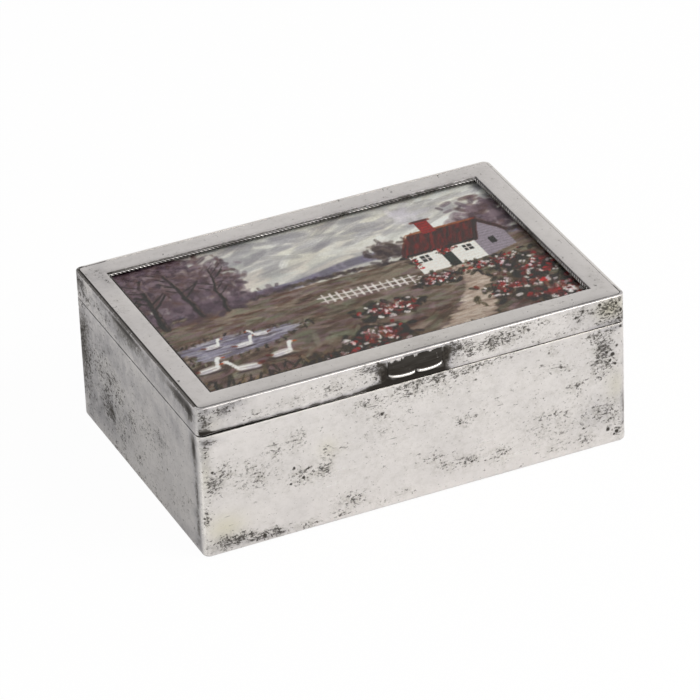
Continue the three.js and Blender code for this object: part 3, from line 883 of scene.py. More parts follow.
# Lid frame
# The flat border round the picture: a pressed channel of plated sheet let into the band, turned down
# outside as a skirt and inside round the window. A fine joint shows between it and the band.
border_low, border_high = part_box("lid_frame")
bead_low, bead_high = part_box("window_bead")
border_sheet = 0.7 * mm
border_corner = 1.05 * mm
border_softness = 0.12 * mm
border_grid = 2.5 * mm
border_buckle = 0.012 * mm
joint_closed = 0.2 * mm
window_depth = 1.2 * mm
bead_gap = 0.1 * mm
window_half = (bead_high.x + bead_gap, bead_high.y + bead_gap)

border_bm = block(border_low, border_high)
soften(border_bm, uprights(border_bm, 3 * mm), border_corner, 5)
under = outermost(border_bm, Vector((0, 0, -1)))
bmesh.ops.inset_region(border_bm, faces=[under], thickness=border_sheet, use_even_offset=True)
ceiling = sink(border_bm, under, -(border_high.z - border_low.z - border_sheet))
curb = window_in(border_bm, ceiling, window_half[0] + border_sheet, window_half[1] + border_sheet)
curb = sink(border_bm, curb, window_depth - border_sheet)
bmesh.ops.inset_region(border_bm, faces=[curb], thickness=border_sheet, use_even_offset=True)
bmesh.ops.delete(border_bm, geom=[curb], context="FACES")
sight = window_in(border_bm, outermost(border_bm, Vector((0, 0, 1))), *window_half)
sight = sink(border_bm, sight, window_depth)
bmesh.ops.delete(border_bm, geom=[sight], context="FACES")
bmesh.ops.remove_doubles(border_bm, verts=border_bm.verts, dist=hair)
bmesh.ops.recalc_face_normals(border_bm, faces=border_bm.faces)
border_bm.normal_update()
soften(border_bm, level_edges(border_bm, border_high.z), border_softness, 2)
rule(border_bm, border_grid)
skirt = border_sheet + 0.1 * mm
for v in border_bm.verts:
    # the skirt has closed on the band at the back and the right
    v.co.x += joint_closed if v.co.x > border_high.x - skirt else 0
    v.co.y += joint_closed if v.co.y > border_high.y - skirt else 0
buckle(border_bm, border_buckle, 5)

border_specks = [
    (-66.5, 23.7, 1.2, 1.2, 1.0), (-63.2, 33.5, 2.4, 4, 0.6), (-66.6, 16.6, 2, 3, 0.5),
    (-65, 40, 5, 4, 0.45), (46, -43, 8, 2, 0.35), (66, -34, 2, 6, 0.4), (5, -43, 6, 2, 0.4),
    (58, 42, 8, 3, 0.3), (0, 0, 120, 90, 0.05),
]
border_smoke = [(-65, 37, 5, 9, 0.36), (-48, 43, 22, 5, 0.12)]
border_straw = [(0, -43, 40, 6, 0.15)]
border_rubbed = [(66, -4, 6, 24, 0.2), (42, -43, 24, 5, 0.2)]
# in millimetres: the closed joint lies beyond these places, and the flat of the border above this height
closed_joint = (68, 44.8)
flat_top = 51.65


def joint_dirt(x, y):
    # dirt on the edges beside the joint and the window: least at the back and the right
    if x > 67 or y > 44:
        return 0.1
    if y < -44:
        return 0.35 + 0.4 * max(0, x / 70)
    return 0.75 if y > 0 else 0.35


def border_marks(place, normal):
    x, y, z = place
    if normal.z < 0.9 and (x > closed_joint[0] or y > closed_joint[1]):
        # the closed joint at the back and the right is clean
        return 0.1, 0.0, 0.0, 0.8
    if z < flat_top:
        return 0.2, 0.6 if x > 50 and normal.x < -0.5 else 0.95, 0.0, 0.0
    soot_and_shade = spread((x, y), border_smoke) + (0.0 if normal.z > 0.9 else joint_dirt(x, y))
    return spread((x, y), border_specks), soot_and_shade, spread((x, y), border_straw), spread((x, y), border_rubbed)


mark_wear_and_light(border_bm, border_marks)
settle(border_bm, "lid_border", plated, "lid", "silver_plate", "lid_frame")

# Window bead
# Two silver wires twisted into a cord and laid round the window on the glass, holding it down. The
# long runs reach from corner to corner and the short ones butt against them.
strand_radius = 0.24 * mm
strand_reach = (bead_high.z - bead_low.z) / 2 - strand_radius
strand_turn = 2.7 * mm
steps_per_turn = 12
strand_sides = 6
bead_radius = strand_radius + strand_reach
bead_middle = (bead_low + bead_high) / 2


def twist(cord, start, way, length):
    # two strands on opposite sides of one axis, spun and drawn along it together
    steps = round(length / strand_turn * steps_per_turn)
    face_on = Matrix.Translation(start) @ way.to_track_quat("Z", "Y").to_matrix().to_4x4()
    for half_turn in (0, math.pi):
        offset = Matrix.Rotation(half_turn, 4, "Z") @ Matrix.Translation((strand_reach, 0, 0))
        bm = bmesh.new()
        bmesh.ops.create_circle(
            bm, cap_ends=True, segments=strand_sides, radius=strand_radius, matrix=face_on @ offset,
        )
        last = bmesh.ops.spin(
            bm, geom=bm.verts[:] + bm.edges[:], cent=start, axis=way, dvec=way * length / steps,
            angle=2 * math.pi * length / strand_turn, steps=steps,
        )["geom_last"]
        bmesh.ops.contextual_create(bm, geom=[e for e in last if isinstance(e, bmesh.types.BMEdge)])
        strand = bpy.data.meshes.new("strand")
        bm.to_mesh(strand)
        bm.free()
        cord.from_mesh(strand)
        bpy.data.meshes.remove(strand)


bead_bm = bmesh.new()
for side in (-1, 1):
    y = side * (bead_high.y - bead_radius)
    x = side * (bead_high.x - bead_radius)
    twist(bead_bm, Vector((bead_low.x, y, bead_middle.z)), Vector((1, 0, 0)), bead_high.x - bead_low.x)
    run = 2 * (bead_high.y - 2 * bead_radius)
    twist(bead_bm, Vector((x, -run / 2, bead_middle.z)), Vector((0, 1, 0)), run)
bmesh.ops.recalc_face_normals(bead_bm, faces=bead_bm.faces)


def bead_marks(place, normal):
    # painted shade, black, between the strands and against the wall, over tarnish, and a painted highlight
    # on the crests that face up
    x, y, z = place
    from_short_run = abs(abs(x) - (bead_high.x - bead_radius) / mm)
    from_long_run = abs(abs(y) - (bead_high.y - bead_radius) / mm)
    crest = math.hypot(min(from_short_run, from_long_run), z - bead_middle.z / mm) * mm / bead_radius
    lit = limited((crest - 0.55) / 0.35) * limited(0.35 + normal.z)
    # worn sets how strong the painted highlight is, and so how far the painted shade gives way to it
    worn = 0.55 + 0.6 * noise.noise(Vector(place) * 0.09) + 0.35 * noise.noise(Vector(place) * 0.4)
    worn = max(0.12, worn)
    if y < bead_high.y / mm - 1.2:
        # only the run at the back, which faces the light, carries the painted highlight all along; the other
        # runs get little of it
        worn *= 0.4 if x > 0 else 0.12
    return 0.2, 1 - lit * min(1, worn), 0.05, 0.9 * lit * min(1, worn)


mark_wear_and_light(bead_bm, bead_marks)
settle(bead_bm, "roped_bead", plated, "lid", "silver_plate", "window_bead", sharp=70)

# Picture
# A colour print on thin card behind the glass, in the manner of an oil sketch: a thatched cottage and
# its garden, with a wood, a pond and geese. It is brushed on here stroke by stroke.
card_low, card_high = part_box("picture_card")
card_cells = (360, 232)


class Painting:
    def __init__(self, half_length, half_width, across, deep, seed):
        self.u = np.linspace(-half_length, half_length, across)
        self.v = np.linspace(-half_width, half_width, deep)
        self.paint = np.zeros((deep, across, 3))
        self.hand = np.random.default_rng(seed)

    def pick(self, shades):
        return np.array(shades[self.hand.integers(len(shades))]) * self.hand.uniform(0.92, 1.08)

    def wash(self, top, bottom, shade_top, shade_bottom):
        rows = (self.v >= bottom) & (self.v <= top)
        share = ((self.v[rows] - bottom) / (top - bottom))[:, None, None]
        self.paint[rows] = np.array(shade_bottom) * (1 - share) + np.array(shade_top) * share

    def dab(self, u, v, length, width, angle, shade, cover=0.8):
        reach = max(length, width)
        i0, i1 = np.searchsorted(self.u, (u - reach, u + reach))
        j0, j1 = np.searchsorted(self.v, (v - reach, v + reach))
        if i0 >= i1 or j0 >= j1:
            return
        along, up = np.meshgrid(self.u[i0:i1] - u, self.v[j0:j1] - v)
        a = (along * math.cos(angle) + up * math.sin(angle)) / length
        b = (up * math.cos(angle) - along * math.sin(angle)) / width
        bristle = 0.8 + 0.2 * np.sin(b * 9 + self.hand.uniform(0, 6))
        mask = cover * bristle * np.clip(1.5 * (1 - a ** 4 - b ** 2), 0, 1)
        patch = self.paint[j0:j1, i0:i1]
        patch += mask[..., None] * (np.array(shade) - patch)

    def scumble(self, count, area, length, width, angle, shades, cover=0.65, sway=0.35):
        for _ in range(count):
            u = self.hand.uniform(area[0], area[1])
            v = self.hand.uniform(area[2], area[3])
            size = self.hand.uniform(0.6, 1.3)
            turn = angle + self.hand.normal(0, sway)
            self.dab(u, v, length * size, width * size, turn, self.pick(shades), cover)

    def clump(self, count, centre, reach, length, width, shades, cover=0.8, angle=0.0, sway=1.5):
        for _ in range(count):
            u = centre[0] + reach[0] * np.clip(self.hand.normal(0, 0.5), -1.2, 1.2)
            v = centre[1] + reach[1] * np.clip(self.hand.normal(0, 0.5), -1.2, 1.2)
            size = self.hand.uniform(0.6, 1.3)
            turn = angle + self.hand.normal(0, sway)
            self.dab(u, v, length * size, width * size, turn, self.pick(shades), cover)

    def line(self, points, width, shade, cover=0.85, wobble=0.1):
        for (u0, v0), (u1, v1) in zip(points, points[1:]):
            steps = max(1, int(math.hypot(u1 - u0, v1 - v0) / (width * 1.2)))
            angle = math.atan2(v1 - v0, u1 - u0)
            for i in range(steps + 1):
                u = u0 + (u1 - u0) * i / steps + self.hand.normal(0, wobble * width)
                v = v0 + (v1 - v0) * i / steps + self.hand.normal(0, wobble * width)
                self.dab(u, v, width * 1.5, width, angle, self.pick([shade]), cover)

    def fill(self, corners, shade, streak=0.05, angle=0.0):
        along, up = np.meshgrid(self.u, self.v)
        inside = np.ones(along.shape, dtype=bool)
        for (u0, v0), (u1, v1) in zip(corners, corners[1:] + corners[:1]):
            inside &= (u1 - u0) * (up - v0) - (v1 - v0) * (along - u0) >= 0
        across = up * math.cos(angle) - along * math.sin(angle)
        wave = np.sin(across * 4.1) + self.hand.normal(0, 0.8, along.shape)
        self.paint[inside] = (np.array(shade) * (1 + streak * wave[..., None]))[inside]


def garden_scene(half_length, half_width, across, deep):
    art = Painting(half_length, half_width, across, deep, seed=11)
    left, right, low, high = -half_length, half_length, -half_width, half_width

    # sky
    cream, mist = (0.80, 0.785, 0.73), (0.71, 0.71, 0.69)
    lilac, cloud = (0.62, 0.61, 0.615), (0.85, 0.845, 0.81)
    art.wash(high, 5, mist, cream)
    sky = [cream, mist, lilac, cloud, (0.78, 0.74, 0.69)]
    art.scumble(420, (left, right, 8, high), 7, 2.2, 0.12, sky, 0.5)
    art.scumble(120, (-12, 66, 20, 40), 6, 2.0, 0.25, [cloud, cream], 0.6)
    art.scumble(90, (-30, 66, 24, 38), 6, 1.3, 0.1, [lilac], 0.55)

    # far hills and a hedge
    haze = [(0.52, 0.50, 0.56), (0.56, 0.54, 0.57), (0.48, 0.47, 0.50)]
    for u in np.arange(left, right, 1.3):
        ridge = 10 + 2.6 * math.sin(u * 0.055 + 0.6) + 0.8 * math.sin(u * 0.17)
        art.dab(u, ridge, 3.2, 2.6, 0.05, art.pick(haze), 0.7)
    hedge = [(0.34, 0.31, 0.31), (0.40, 0.37, 0.34), (0.31, 0.27, 0.30), (0.45, 0.41, 0.37)]
    for u in np.arange(left, right, 0.9):
        top = 7.4 + 1.3 * math.sin(u * 0.09 + 2) + art.hand.normal(0, 0.5)
        art.dab(u, top, 1.5, 1.1, art.hand.normal(0, 0.6), art.pick(hedge), 0.75)

    # grass
    grass = [
        (0.52, 0.47, 0.43), (0.49, 0.43, 0.44), (0.42, 0.38, 0.33), (0.60, 0.55, 0.50), (0.44, 0.35, 0.32),
        (0.54, 0.47, 0.48), (0.38, 0.34, 0.31), (0.47, 0.48, 0.42), (0.53, 0.53, 0.47),
    ]
    art.wash(6.5, low, (0.57, 0.53, 0.48), (0.40, 0.35, 0.33))
    art.scumble(900, (left, right, -8, 6.5), 3.6, 0.7, 0.03, grass, 0.6, 0.18)
    art.scumble(1000, (left, right, -26, -6), 4.2, 0.95, 0.08, grass, 0.65, 0.25)
    art.scumble(900, (left, right, low, -22), 4.6, 1.2, 0.16, grass + [(0.33, 0.28, 0.26)], 0.65, 0.4)

    # the wood on the left, bushes behind the cottage
    shade = [
        (0.38, 0.34, 0.37), (0.45, 0.40, 0.43), (0.52, 0.47, 0.49), (0.42, 0.36, 0.36), (0.58, 0.53, 0.54),
        (0.47, 0.40, 0.39),
    ]
    art.clump(900, (-52, 27), (20, 19), 2.4, 1.2, shade, 0.7)
    art.clump(420, (-60, 33), (15, 13), 2.6, 1.3, shade[:4], 0.75)
    art.clump(260, (-34, 20), (9, 12), 2.0, 0.9, shade, 0.6)
    art.clump(170, (-42, 10), (20, 4), 2.2, 1.2, shade[:3], 0.7)
    art.clump(160, (-50, 33), (18, 10), 1.6, 0.6, [(0.54, 0.49, 0.52), (0.58, 0.53, 0.51)], 0.5)
    bark, lit = (0.27, 0.23, 0.24), (0.54, 0.48, 0.46)
    for foot, head, girth in (
        ((-58, 4), (-55, 33), 1.5), ((-45, 6), (-47, 36), 1.2),
        ((-37, 5), (-33, 30), 0.9), ((-65, 2), (-66, 30), 1.4),
    ):
        trunk = []
        for k in range(9):
            sway = art.hand.normal(0, 0.35) if k else 0
            u = foot[0] + (head[0] - foot[0]) * k / 8 + sway
            trunk.append((u, foot[1] + (head[1] - foot[1]) * k / 8))
        for k in range(8):
            art.line(trunk[k:k + 2], girth * (1 - 0.09 * k), bark)
            art.line([(u + girth * 0.5, v) for u, v in trunk[k:k + 2]], girth * 0.25, lit, 0.45)
        for k in (3, 4, 4, 5, 5, 6, 6, 7, 7, 8):
            side = -1 if art.hand.uniform() < 0.5 else 1
            reach = art.hand.uniform(3.5, 8) * (1.25 - 0.09 * k)
            rise = reach * art.hand.uniform(0.5, 1.2)
            u, v = trunk[k]
            bough = [(u, v), (u + side * reach * 0.45, v + rise * 0.4), (u + side * reach, v + rise)]
            art.line(bough, girth * (0.42 - 0.03 * k), bark, 0.7)
    art.clump(150, (-50, 33), (18, 9), 1.5, 0.7, shade, 0.5)
    art.clump(260, (57, 19), (11, 11), 2.2, 1.1, shade, 0.7)
    bush = [(0.40, 0.37, 0.36), (0.46, 0.42, 0.40), (0.34, 0.30, 0.32)]
    art.clump(120, (20, 14), (7, 6), 1.8, 0.9, bush, 0.7)

    # the cottage: walls, thatch, chimney and smoke, windows and door
    wall, gable = (0.86, 0.83, 0.79), (0.58, 0.55, 0.57)
    art.fill([(24, -4), (46, -3), (46, 9), (24, 9)], wall, 0.025)
    art.fill([(46, -3), (57, 0), (57, 10), (51, 18), (46, 9)], gable, 0.035)
    thatch = [(0.42, 0.21, 0.14), (0.48, 0.26, 0.17), (0.34, 0.15, 0.11), (0.55, 0.33, 0.22)]
    art.fill([(22, 8), (47, 8.5), (51.5, 19.5), (29, 19.5)], thatch[0], 0.06, 1.2)
    for u in np.arange(22.5, 47, 0.7):
        for k in range(4):
            t = (k + art.hand.uniform(0, 1)) / 4
            art.dab(u + t * 5.6, 8.6 + t * 10.4, 2.2, 0.5, 1.15, art.pick(thatch), 0.7)
    art.line([(21.8, 7.7), (46.8, 8.2)], 0.7, (0.18, 0.11, 0.10))
    art.line([(47, 8.4), (51.6, 19.2), (57.6, 9.8)], 0.9, thatch[2])
    art.line([(29, 19.8), (51.5, 19.8)], 0.6, (0.60, 0.41, 0.30))
    art.fill([(34, 18), (38.4, 18), (38.4, 26), (34, 26)], (0.58, 0.24, 0.19), 0.10)
    art.line([(33.5, 26), (38.9, 26)], 0.7, (0.40, 0.16, 0.14))
    art.clump(26, (33, 32), (5, 5), 2.6, 1.3, [(0.82, 0.80, 0.80), (0.76, 0.74, 0.76)], 0.35)
    pane = (0.22, 0.22, 0.26)
    for u, v in ((27, 2.6), (41, 2.8)):
        art.fill([(u, v), (u + 3, v), (u + 3, v + 3.6), (u, v + 3.6)], pane, 0.12)
        art.line([(u, v + 1.8), (u + 3, v + 1.8)], 0.28, wall)
        art.line([(u + 1.5, v), (u + 1.5, v + 3.6)], 0.28, wall)
    art.fill([(33.6, -3.6), (37, -3.5), (37, 4.6), (33.6, 4.6)], (0.28, 0.33, 0.32), 0.06)
    art.fill([(50, 3), (52.6, 3.6), (52.6, 7.4), (50, 6.8)], pane, 0.12)

    # the path, wider towards the front
    gravel = [(0.72, 0.66, 0.60), (0.66, 0.60, 0.55), (0.58, 0.52, 0.48), (0.76, 0.72, 0.67)]
    for t in np.linspace(0, 1, 230):
        u, v = 35 - 17 * t + 10 * math.sin(t * 3.4) * (1 - t), -4 - t * 42
        for k in range(3):
            aside = art.hand.uniform(-1, 1) * (1.4 + 8 * t ** 1.5)
            art.dab(u + aside, v, 2 + 2.4 * t, 0.4 + 0.6 * t, art.hand.normal(0, 0.1), art.pick(gravel), 0.6)

    # flower beds
    leaf = [(0.24, 0.24, 0.20), (0.30, 0.29, 0.24), (0.20, 0.17, 0.18), (0.36, 0.34, 0.28)]
    crimson = [(0.62, 0.09, 0.12), (0.70, 0.15, 0.15), (0.50, 0.06, 0.10)]
    white = [(0.90, 0.88, 0.85), (0.82, 0.79, 0.78), (0.78, 0.72, 0.73)]
    russet = [(0.46, 0.23, 0.17), (0.38, 0.17, 0.14), (0.54, 0.32, 0.24)]
    for u, v, along, up, size in (
        (26, -8, 6, 3, 1.0), (46, -7, 10, 3.5, 1.0), (56, -15, 11, 6, 1.35), (45, -23, 10, 5, 1.4),
        (57, -31, 11, 7, 1.7), (6, -17, 8, 4, 1.3), (-4, -30, 9, 5, 1.7), (-17, -38, 9, 4, 1.8),
    ):
        art.clump(110, (u, v), (along * 1.15, up * 1.1), 1.5 * size, 0.7 * size, leaf, 0.8, 0.9, 0.8)
        art.clump(34, (u, v), (along, up), 0.75 * size, 0.5 * size, crimson, 0.9)
        art.clump(38, (u, v), (along, up), 0.7 * size, 0.48 * size, white, 0.9)
        art.clump(20, (u, v), (along, up), 0.7 * size, 0.5 * size, russet, 0.85)
        stalks = leaf[3:] + grass[:2]
        art.clump(24, (u, v + up * 0.5), (along, up * 0.5), 1.3 * size, 0.22 * size, stalks, 0.7, 1.4, 0.35)
    art.clump(60, (35.5, 6.5), (3.6, 2.2), 0.6, 0.45, crimson + leaf, 0.9)
    art.clump(36, (24.5, 3), (1.4, 4), 0.6, 0.45, crimson + leaf, 0.9)

    # the fence
    pale = (0.84, 0.81, 0.78)
    for i in range(13):
        u, v = -9 + i * 2.35, -3.2 - i * 0.12
        art.line([(u, v - 2.2), (u, v + 2.4)], 0.42, pale, 0.85, 0.05)
    art.line([(-10.5, -2.0), (21, -3.6)], 0.36, pale, 0.8, 0.05)
    art.line([(-10.5, -4.2), (21, -5.8)], 0.36, pale, 0.7, 0.05)

    # the pond and the growth on its shore
    water = [(0.60, 0.59, 0.63), (0.52, 0.50, 0.55), (0.68, 0.67, 0.68), (0.43, 0.41, 0.45)]

    def shore(a, base):
        return base + 0.16 * math.sin(3 * a + 1) + 0.09 * math.sin(5 * a)

    for _ in range(420):
        a, r = art.hand.uniform(0, 2 * math.pi), math.sqrt(art.hand.uniform(0, 1))
        r = r * shore(a, 1)
        u, v = -43 + 18 * r * math.cos(a), -14 + 5.4 * r * math.sin(a)
        art.dab(u, v, 3.2, 0.45, 0.02, art.pick(water), 0.65)
    for _ in range(170):
        a = art.hand.uniform(0, 2 * math.pi)
        r = shore(a, 1.06) * art.hand.uniform(0.97, 1.14)
        turn = art.hand.normal(1.2, 0.5)
        u, v = -43 + 18 * r * math.cos(a), -14 + 5.6 * r * math.sin(a)
        art.dab(u, v, 1.3, 0.45, turn, art.pick(leaf + grass), 0.7)

    # geese: shadow, body, wing, neck, head, bill and tail; way is 1 for those that look to the right
    shadow, wing, bill = (0.32, 0.29, 0.30), (0.70, 0.68, 0.70), (0.72, 0.38, 0.16)
    neck = [(2.0, 0.5), (2.7, 2.6), (3.1, 3.2)]
    for u, v, way, size in (
        (-50, -12.5, 1, 1.0), (-41, -15.5, 1, 1.15), (-34, -12.0, -1, 0.95), (-56, -24, 1, 1.5),
        (-45, -27.5, -1, 1.6), (-33, -25, 1, 1.45),
    ):
        art.dab(u, v - 1.3 * size, 3.2 * size, 0.5 * size, 0, shadow, 0.7)
        art.dab(u, v, 2.7 * size, 1.25 * size, 0.12 * way, white[0], 0.97)
        art.dab(u - way * 0.9 * size, v - 0.45 * size, 1.6 * size, 0.6 * size, 0.1 * way, wing, 0.8)
        art.line([(u + way * a * size, v + b * size) for a, b in neck], 0.5 * size, white[0], 0.95, 0.02)
        art.dab(u + way * 3.2 * size, v + 3.3 * size, 0.75 * size, 0.55 * size, 0, white[0], 0.97)
        art.dab(u + way * 4.1 * size, v + 3.15 * size, 0.6 * size, 0.26 * size, -0.2 * way, bill, 0.95)
        art.dab(u - way * 2.7 * size, v + 0.25 * size, 1.0 * size, 0.5 * size, -0.4 * way, russet[0], 0.75)

    # reeds along the front edge, then the tone and grain of the print
    reeds = leaf + [(0.55, 0.49, 0.41)]
    art.scumble(200, (left, -18, low, -31), 2.6, 0.5, 1.3, reeds, 0.7, 0.35)
    art.scumble(90, (20, right, low, -36), 2.6, 0.5, 1.3, reeds, 0.7, 0.35)
    grain = art.hand.normal(0, 0.018, art.paint.shape[:2])
    tone = art.paint.mean(axis=2, keepdims=True)
    rich = 0.425 + 1.42 * (tone - 0.48) + 1.3 * (art.paint - tone)
    rich = (rich - 0.2 * (1 - rich) ** 3) * (1.0, 1.0, 1.04)
    return np.clip(rich + grain[..., None], 0.03, 0.93)


def printed_card():
    card = Finish("picture_print")
    ink = card.node("Attribute")
    ink.attribute_name = "ink"
    screen = card.grain(3200, 3, 0.6)
    colour = card.mix(card.step(screen, 0.3, 0.7, 0.0, 0.16), ink.outputs["Color"], (0.10, 0.075, 0.07, 1))
    rough = card.step(screen, 0.3, 0.7, 0.45, 0.62)
    return card.surface(Base_Color=colour, Roughness=rough, Normal=card.bump(screen, 0.15, 0.03 * mm))


card_bm = bmesh.new()
bmesh.ops.create_grid(card_bm, x_segments=card_cells[0], y_segments=card_cells[1], size=0.5)
bmesh.ops.scale(card_bm, vec=(card_high.x - card_low.x, card_high.y - card_low.y, 1), verts=card_bm.verts)
bmesh.ops.translate(card_bm, vec=(0, 0, card_high.z), verts=card_bm.verts)
rim = bmesh.ops.extrude_edge_only(card_bm, edges=[e for e in card_bm.edges if e.is_boundary])["geom"]
lowered = [v for v in rim if isinstance(v, bmesh.types.BMVert)]
bmesh.ops.translate(card_bm, vec=(0, 0, card_low.z - card_high.z), verts=lowered)
bmesh.ops.holes_fill(card_bm, edges=[e for e in card_bm.edges if e.is_boundary], sides=0)
bmesh.ops.recalc_face_normals(card_bm, faces=card_bm.faces)
card = settle(card_bm, "printed_card", printed_card(), "lid", "picture_print", "picture_card")
scene_paint = garden_scene(card_high.x / mm, card_high.y / mm, card_cells[0] + 1, card_cells[1] + 1) ** 2.2
spots = np.zeros(len(card.data.vertices) * 3, np.float32)
card.data.vertices.foreach_get("co", spots)
spots = spots.reshape(-1, 3)
columns = np.rint((spots[:, 0] - card_low.x) / (card_high.x - card_low.x) * card_cells[0]).astype(int)
rows = np.rint((spots[:, 1] - card_low.y) / (card_high.y - card_low.y) * card_cells[1]).astype(int)
ink = np.ones((len(spots), 4), np.float32)
ink[:, :3] = scene_paint[rows, columns]
card.data.color_attributes.new("ink", "FLOAT_COLOR", "POINT").data.foreach_set("color", ink.ravel())

# Glass and backing
# A pane of thin picture glass under the frame, and a pasteboard behind the print that packs both
# against the cedar panel.
glass_edge = 0.12 * mm
pasteboard_edge = 0.1 * mm


def picture_pane():
    pane = Finish("picture_glass")
    clear = pane.node("BsdfTransparent", Color=(0.97, 0.98, 0.975, 1))
    smear = pane.step(pane.grain(70, 4, 0.6), 0.35, 0.75, 0.03, 0.12)
    gloss = pane.node("BsdfGlossy", Color=(1, 1, 1, 1), Roughness=smear)
    facing = pane.math("SUBTRACT", 1.0, pane.node("NewGeometry").outputs["Backfacing"])
    share = pane.math("MULTIPLY", pane.node("Fresnel", IOR=1.15).outputs[0], facing)
    mixed = pane.node("MixShader", Fac=share)
    pane.tree.links.new(clear.outputs[0], mixed.inputs[1])
    pane.tree.links.new(gloss.outputs[0], mixed.inputs[2])
    pane.tree.links.new(mixed.outputs[0], pane.out.inputs["Surface"])
    return pane.material


def pasteboard():
    board = Finish("pasteboard")
    buff = (0.33, 0.26, 0.17, 1)
    brown = (0.20, 0.13, 0.075, 1)
    fibre = (0.14, 0.10, 0.065, 1)
    pulp = board.grain(1600, 5, 0.7)
    foxed = board.step(board.grain(60, 4, 0.6), 0.5, 0.75, 0.0, 0.5)
    colour = board.mix(foxed, buff, brown)
    colour = board.mix(board.step(pulp, 0.4, 0.7, 0.0, 0.3), colour, fibre)
    rough = board.step(pulp, 0.3, 0.7, 0.8, 0.95)
    return board.surface(Base_Color=colour, Roughness=rough, Normal=board.bump(pulp, 0.4, 0.1 * mm))


pane_bm = softened("picture_glass", glass_edge)
settle(pane_bm, "glass_pane", picture_pane(), "lid", "picture_glass", "picture_glass", sharp=crisp)
backing_bm = softened("picture_backing", pasteboard_edge)
settle(backing_bm, "pasteboard", pasteboard(), "lid", "pasteboard", "picture_backing", sharp=crisp)

# Lid panel
# A thin board of the same cedar, pressed up into the lid from below. It closes the lid, hides the
# pasteboard and holds the picture against the frame.
panel_bm = softened("lid_panel", board_softness)
settle(panel_bm, "lid_board", cedar_long, "lid", "cedar", "lid_panel", sharp=crisp)

# Thumbpiece
# A scooped lip of thick plated sheet soldered on the front of the lid: hollow above, with a rounded
# nose filed into two lobes, ends that curl up and a notch in the middle. The hollow is black with age and
# painted darker for the dark it reflects; the shadow under the lip and the highlight on the nose are
# painted.
thumb_low, thumb_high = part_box("thumbpiece")
thumb_half = thumb_high.x
thumb_reach = thumb_high.y - thumb_low.y
thumb_nose = 0.42 * mm
thumb_feather = 0.25 * mm
thumb_curl = 0.75 * mm
thumb_notch = 0.55
# the section's shares: where its underside, its nose and its hollow end
thumb_under, thumb_front, thumb_hollow = 0.2, 0.45, 0.95
# rubbed bright again along the hollow's upper edge: place, width and depth as shares of the lip
thumb_nibs = [
    (-0.86, 0.1, 0.05), (-0.6, 0.13, 0.06), (-0.42, 0.04, 0.03),
    (0.0, 0.05, 0.08), (0.07, 0.03, 0.05), (0.58, 0.09, 0.05),
]


def thumb_section(t, reach, nose, foot, feather):
    # how far out and how high a point of the section is, from under the lip round the nose to the head
    head = thumb_high.z
    if t < thumb_under:
        return t / thumb_under * (reach - nose), foot
    if t < thumb_front:
        a = ((t - thumb_under) / (thumb_front - thumb_under) - 0.5) * math.pi
        return reach - nose + nose * math.cos(a), foot + nose * (1 + math.sin(a))
    if t < thumb_hollow:
        k = (t - thumb_front) / (thumb_hollow - thumb_front)
        out = (1 - k) ** 2 * (reach - nose) + (1 - (1 - k) ** 2) * feather
        return out, (foot + 2 * nose) * (1 - k * k) + k * k * head
    return feather * (1 - t) / (1 - thumb_hollow), head


def thumb_shape(s, t):
    # the lip is bowed: furthest out on the two lobes, falling back and rising at the ends and the notch
    x = s * thumb_half
    ease = max(0, 1 - abs(s) ** 5) ** 0.5
    feather = thumb_feather * max(0.1, ease)
    nose = thumb_nose * (0.6 + 0.4 * ease)
    lobe = math.exp(-((x / (1.5 * mm)) ** 2))
    reach = max(feather + nose, thumb_reach * ease * (1 - 0.14 * lobe))
    filed = reach - thumb_notch * thumb_reach * math.exp(-((x / (0.6 * mm)) ** 4))
    foot = thumb_low.z + thumb_curl * abs(s) ** 5 + 0.22 * mm * lobe
    out, height = thumb_section(t, reach, nose, foot, feather)
    return Vector((x, thumb_high.y - min(out, filed), height))


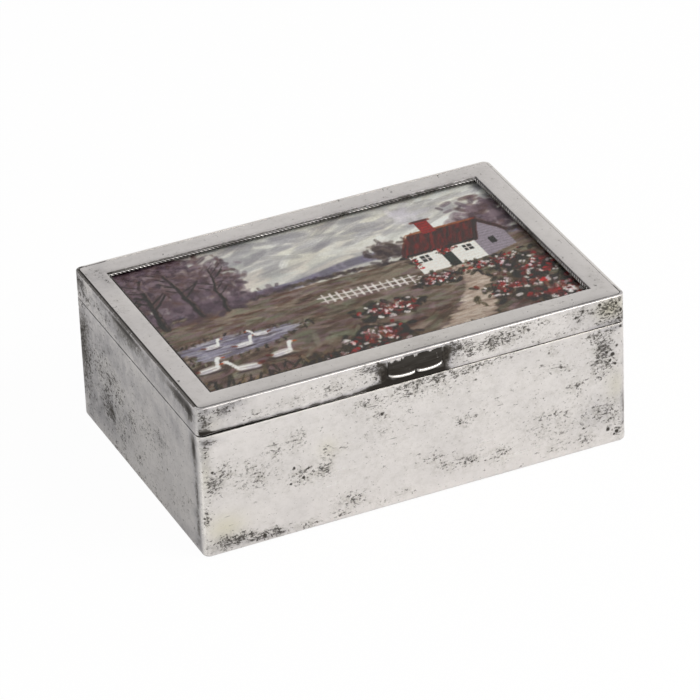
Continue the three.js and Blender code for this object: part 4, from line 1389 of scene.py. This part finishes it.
def thumb_wear_and_light(s, t):
    # black in the hollow as far as its ragged upper edge, from tarnish and a painted dark reflection, darker
    # towards the lip; painted shadow underneath and in the notch; rubbing and a painted highlight on the
    # nose
    nibs = sum(deep * math.exp(-((s - place) / wide) ** 2) for place, wide, deep in thumb_nibs)
    wave = 0.05 * noise.noise(Vector((s * 5, 2, 0)))
    tooth = 0.03 * noise.noise(Vector((s * 19, 5, 0)))
    ragged = 1.0 + wave + tooth - nibs - 0.1 * max(0, -0.5 - s) - 0.2 * max(0, s - 0.8)
    darker_towards_lip = 1.0 - 0.05 * max(0, t - 0.5) + 0.02 * noise.noise(Vector((s * 2, t * 30, 1)))
    hollow = limited((t - 0.44) / 0.05) * limited((ragged - t) / 0.03 + 0.5)
    notch = math.exp(-(s * thumb_half / (0.45 * mm)) ** 4)
    nose = math.exp(-((t - 0.36) / 0.1) ** 2) * (1 - notch)
    under = 1 if t < 0.22 else notch if t < 0.55 else 0
    # at the ends the painted highlight is left off and painted shade put on instead
    if abs(s) > 0.985:
        nose, under = 0, 1
    return 0.25, max(hollow * min(1, darker_towards_lip), under, 0.1), 0.1, 0.6 * nose


thumb_bm = bmesh.new()
bmesh.ops.create_grid(thumb_bm, x_segments=110, y_segments=40, size=1)
thumb_layers = [thumb_bm.verts.layers.float.new(name) for name in wear_and_light_kinds]
for v in thumb_bm.verts:
    # s runs along the lip from -1 to 1, and t round its section from 0 to 1
    s, t = v.co.x, (v.co.y + 1) / 2
    for layer, amount in zip(thumb_layers, thumb_wear_and_light(s, t)):
        v[layer] = amount
    v.co = thumb_shape(s, t)
open_edges = [e for e in thumb_bm.edges if e.is_boundary]
long_edges = [e for e in open_edges if abs(e.verts[0].co.x - e.verts[1].co.x) > hair]
bmesh.ops.bridge_loops(thumb_bm, edges=long_edges)
bmesh.ops.holes_fill(thumb_bm, edges=[e for e in thumb_bm.edges if e.is_boundary], sides=0)
bmesh.ops.remove_doubles(thumb_bm, verts=thumb_bm.verts, dist=fine_hair)
bmesh.ops.recalc_face_normals(thumb_bm, faces=thumb_bm.faces)
settle(thumb_bm, "thumb_lip", plated, "lid", "silver_plate", "thumbpiece", sharp=60)

# Lid half of the hinge
# The lid's channel, rolled from the same sheet and soldered under the band's back wall, with the two
# tubes that stand between the case's three on the same wire.
for number in (1, 2):
    node = f"lid_knuckle_{number}"
    settle(tube(node), f"lid_tube_{number}", plated, "lid", "silver_plate", node)
lid_channel = tarnished(softened("hinge_channel_lid", channel_edge), 0.4, 0.25)
settle(lid_channel, "lid_channel", plated, "lid", "silver_plate", "hinge_channel_lid", sharp=crisp)
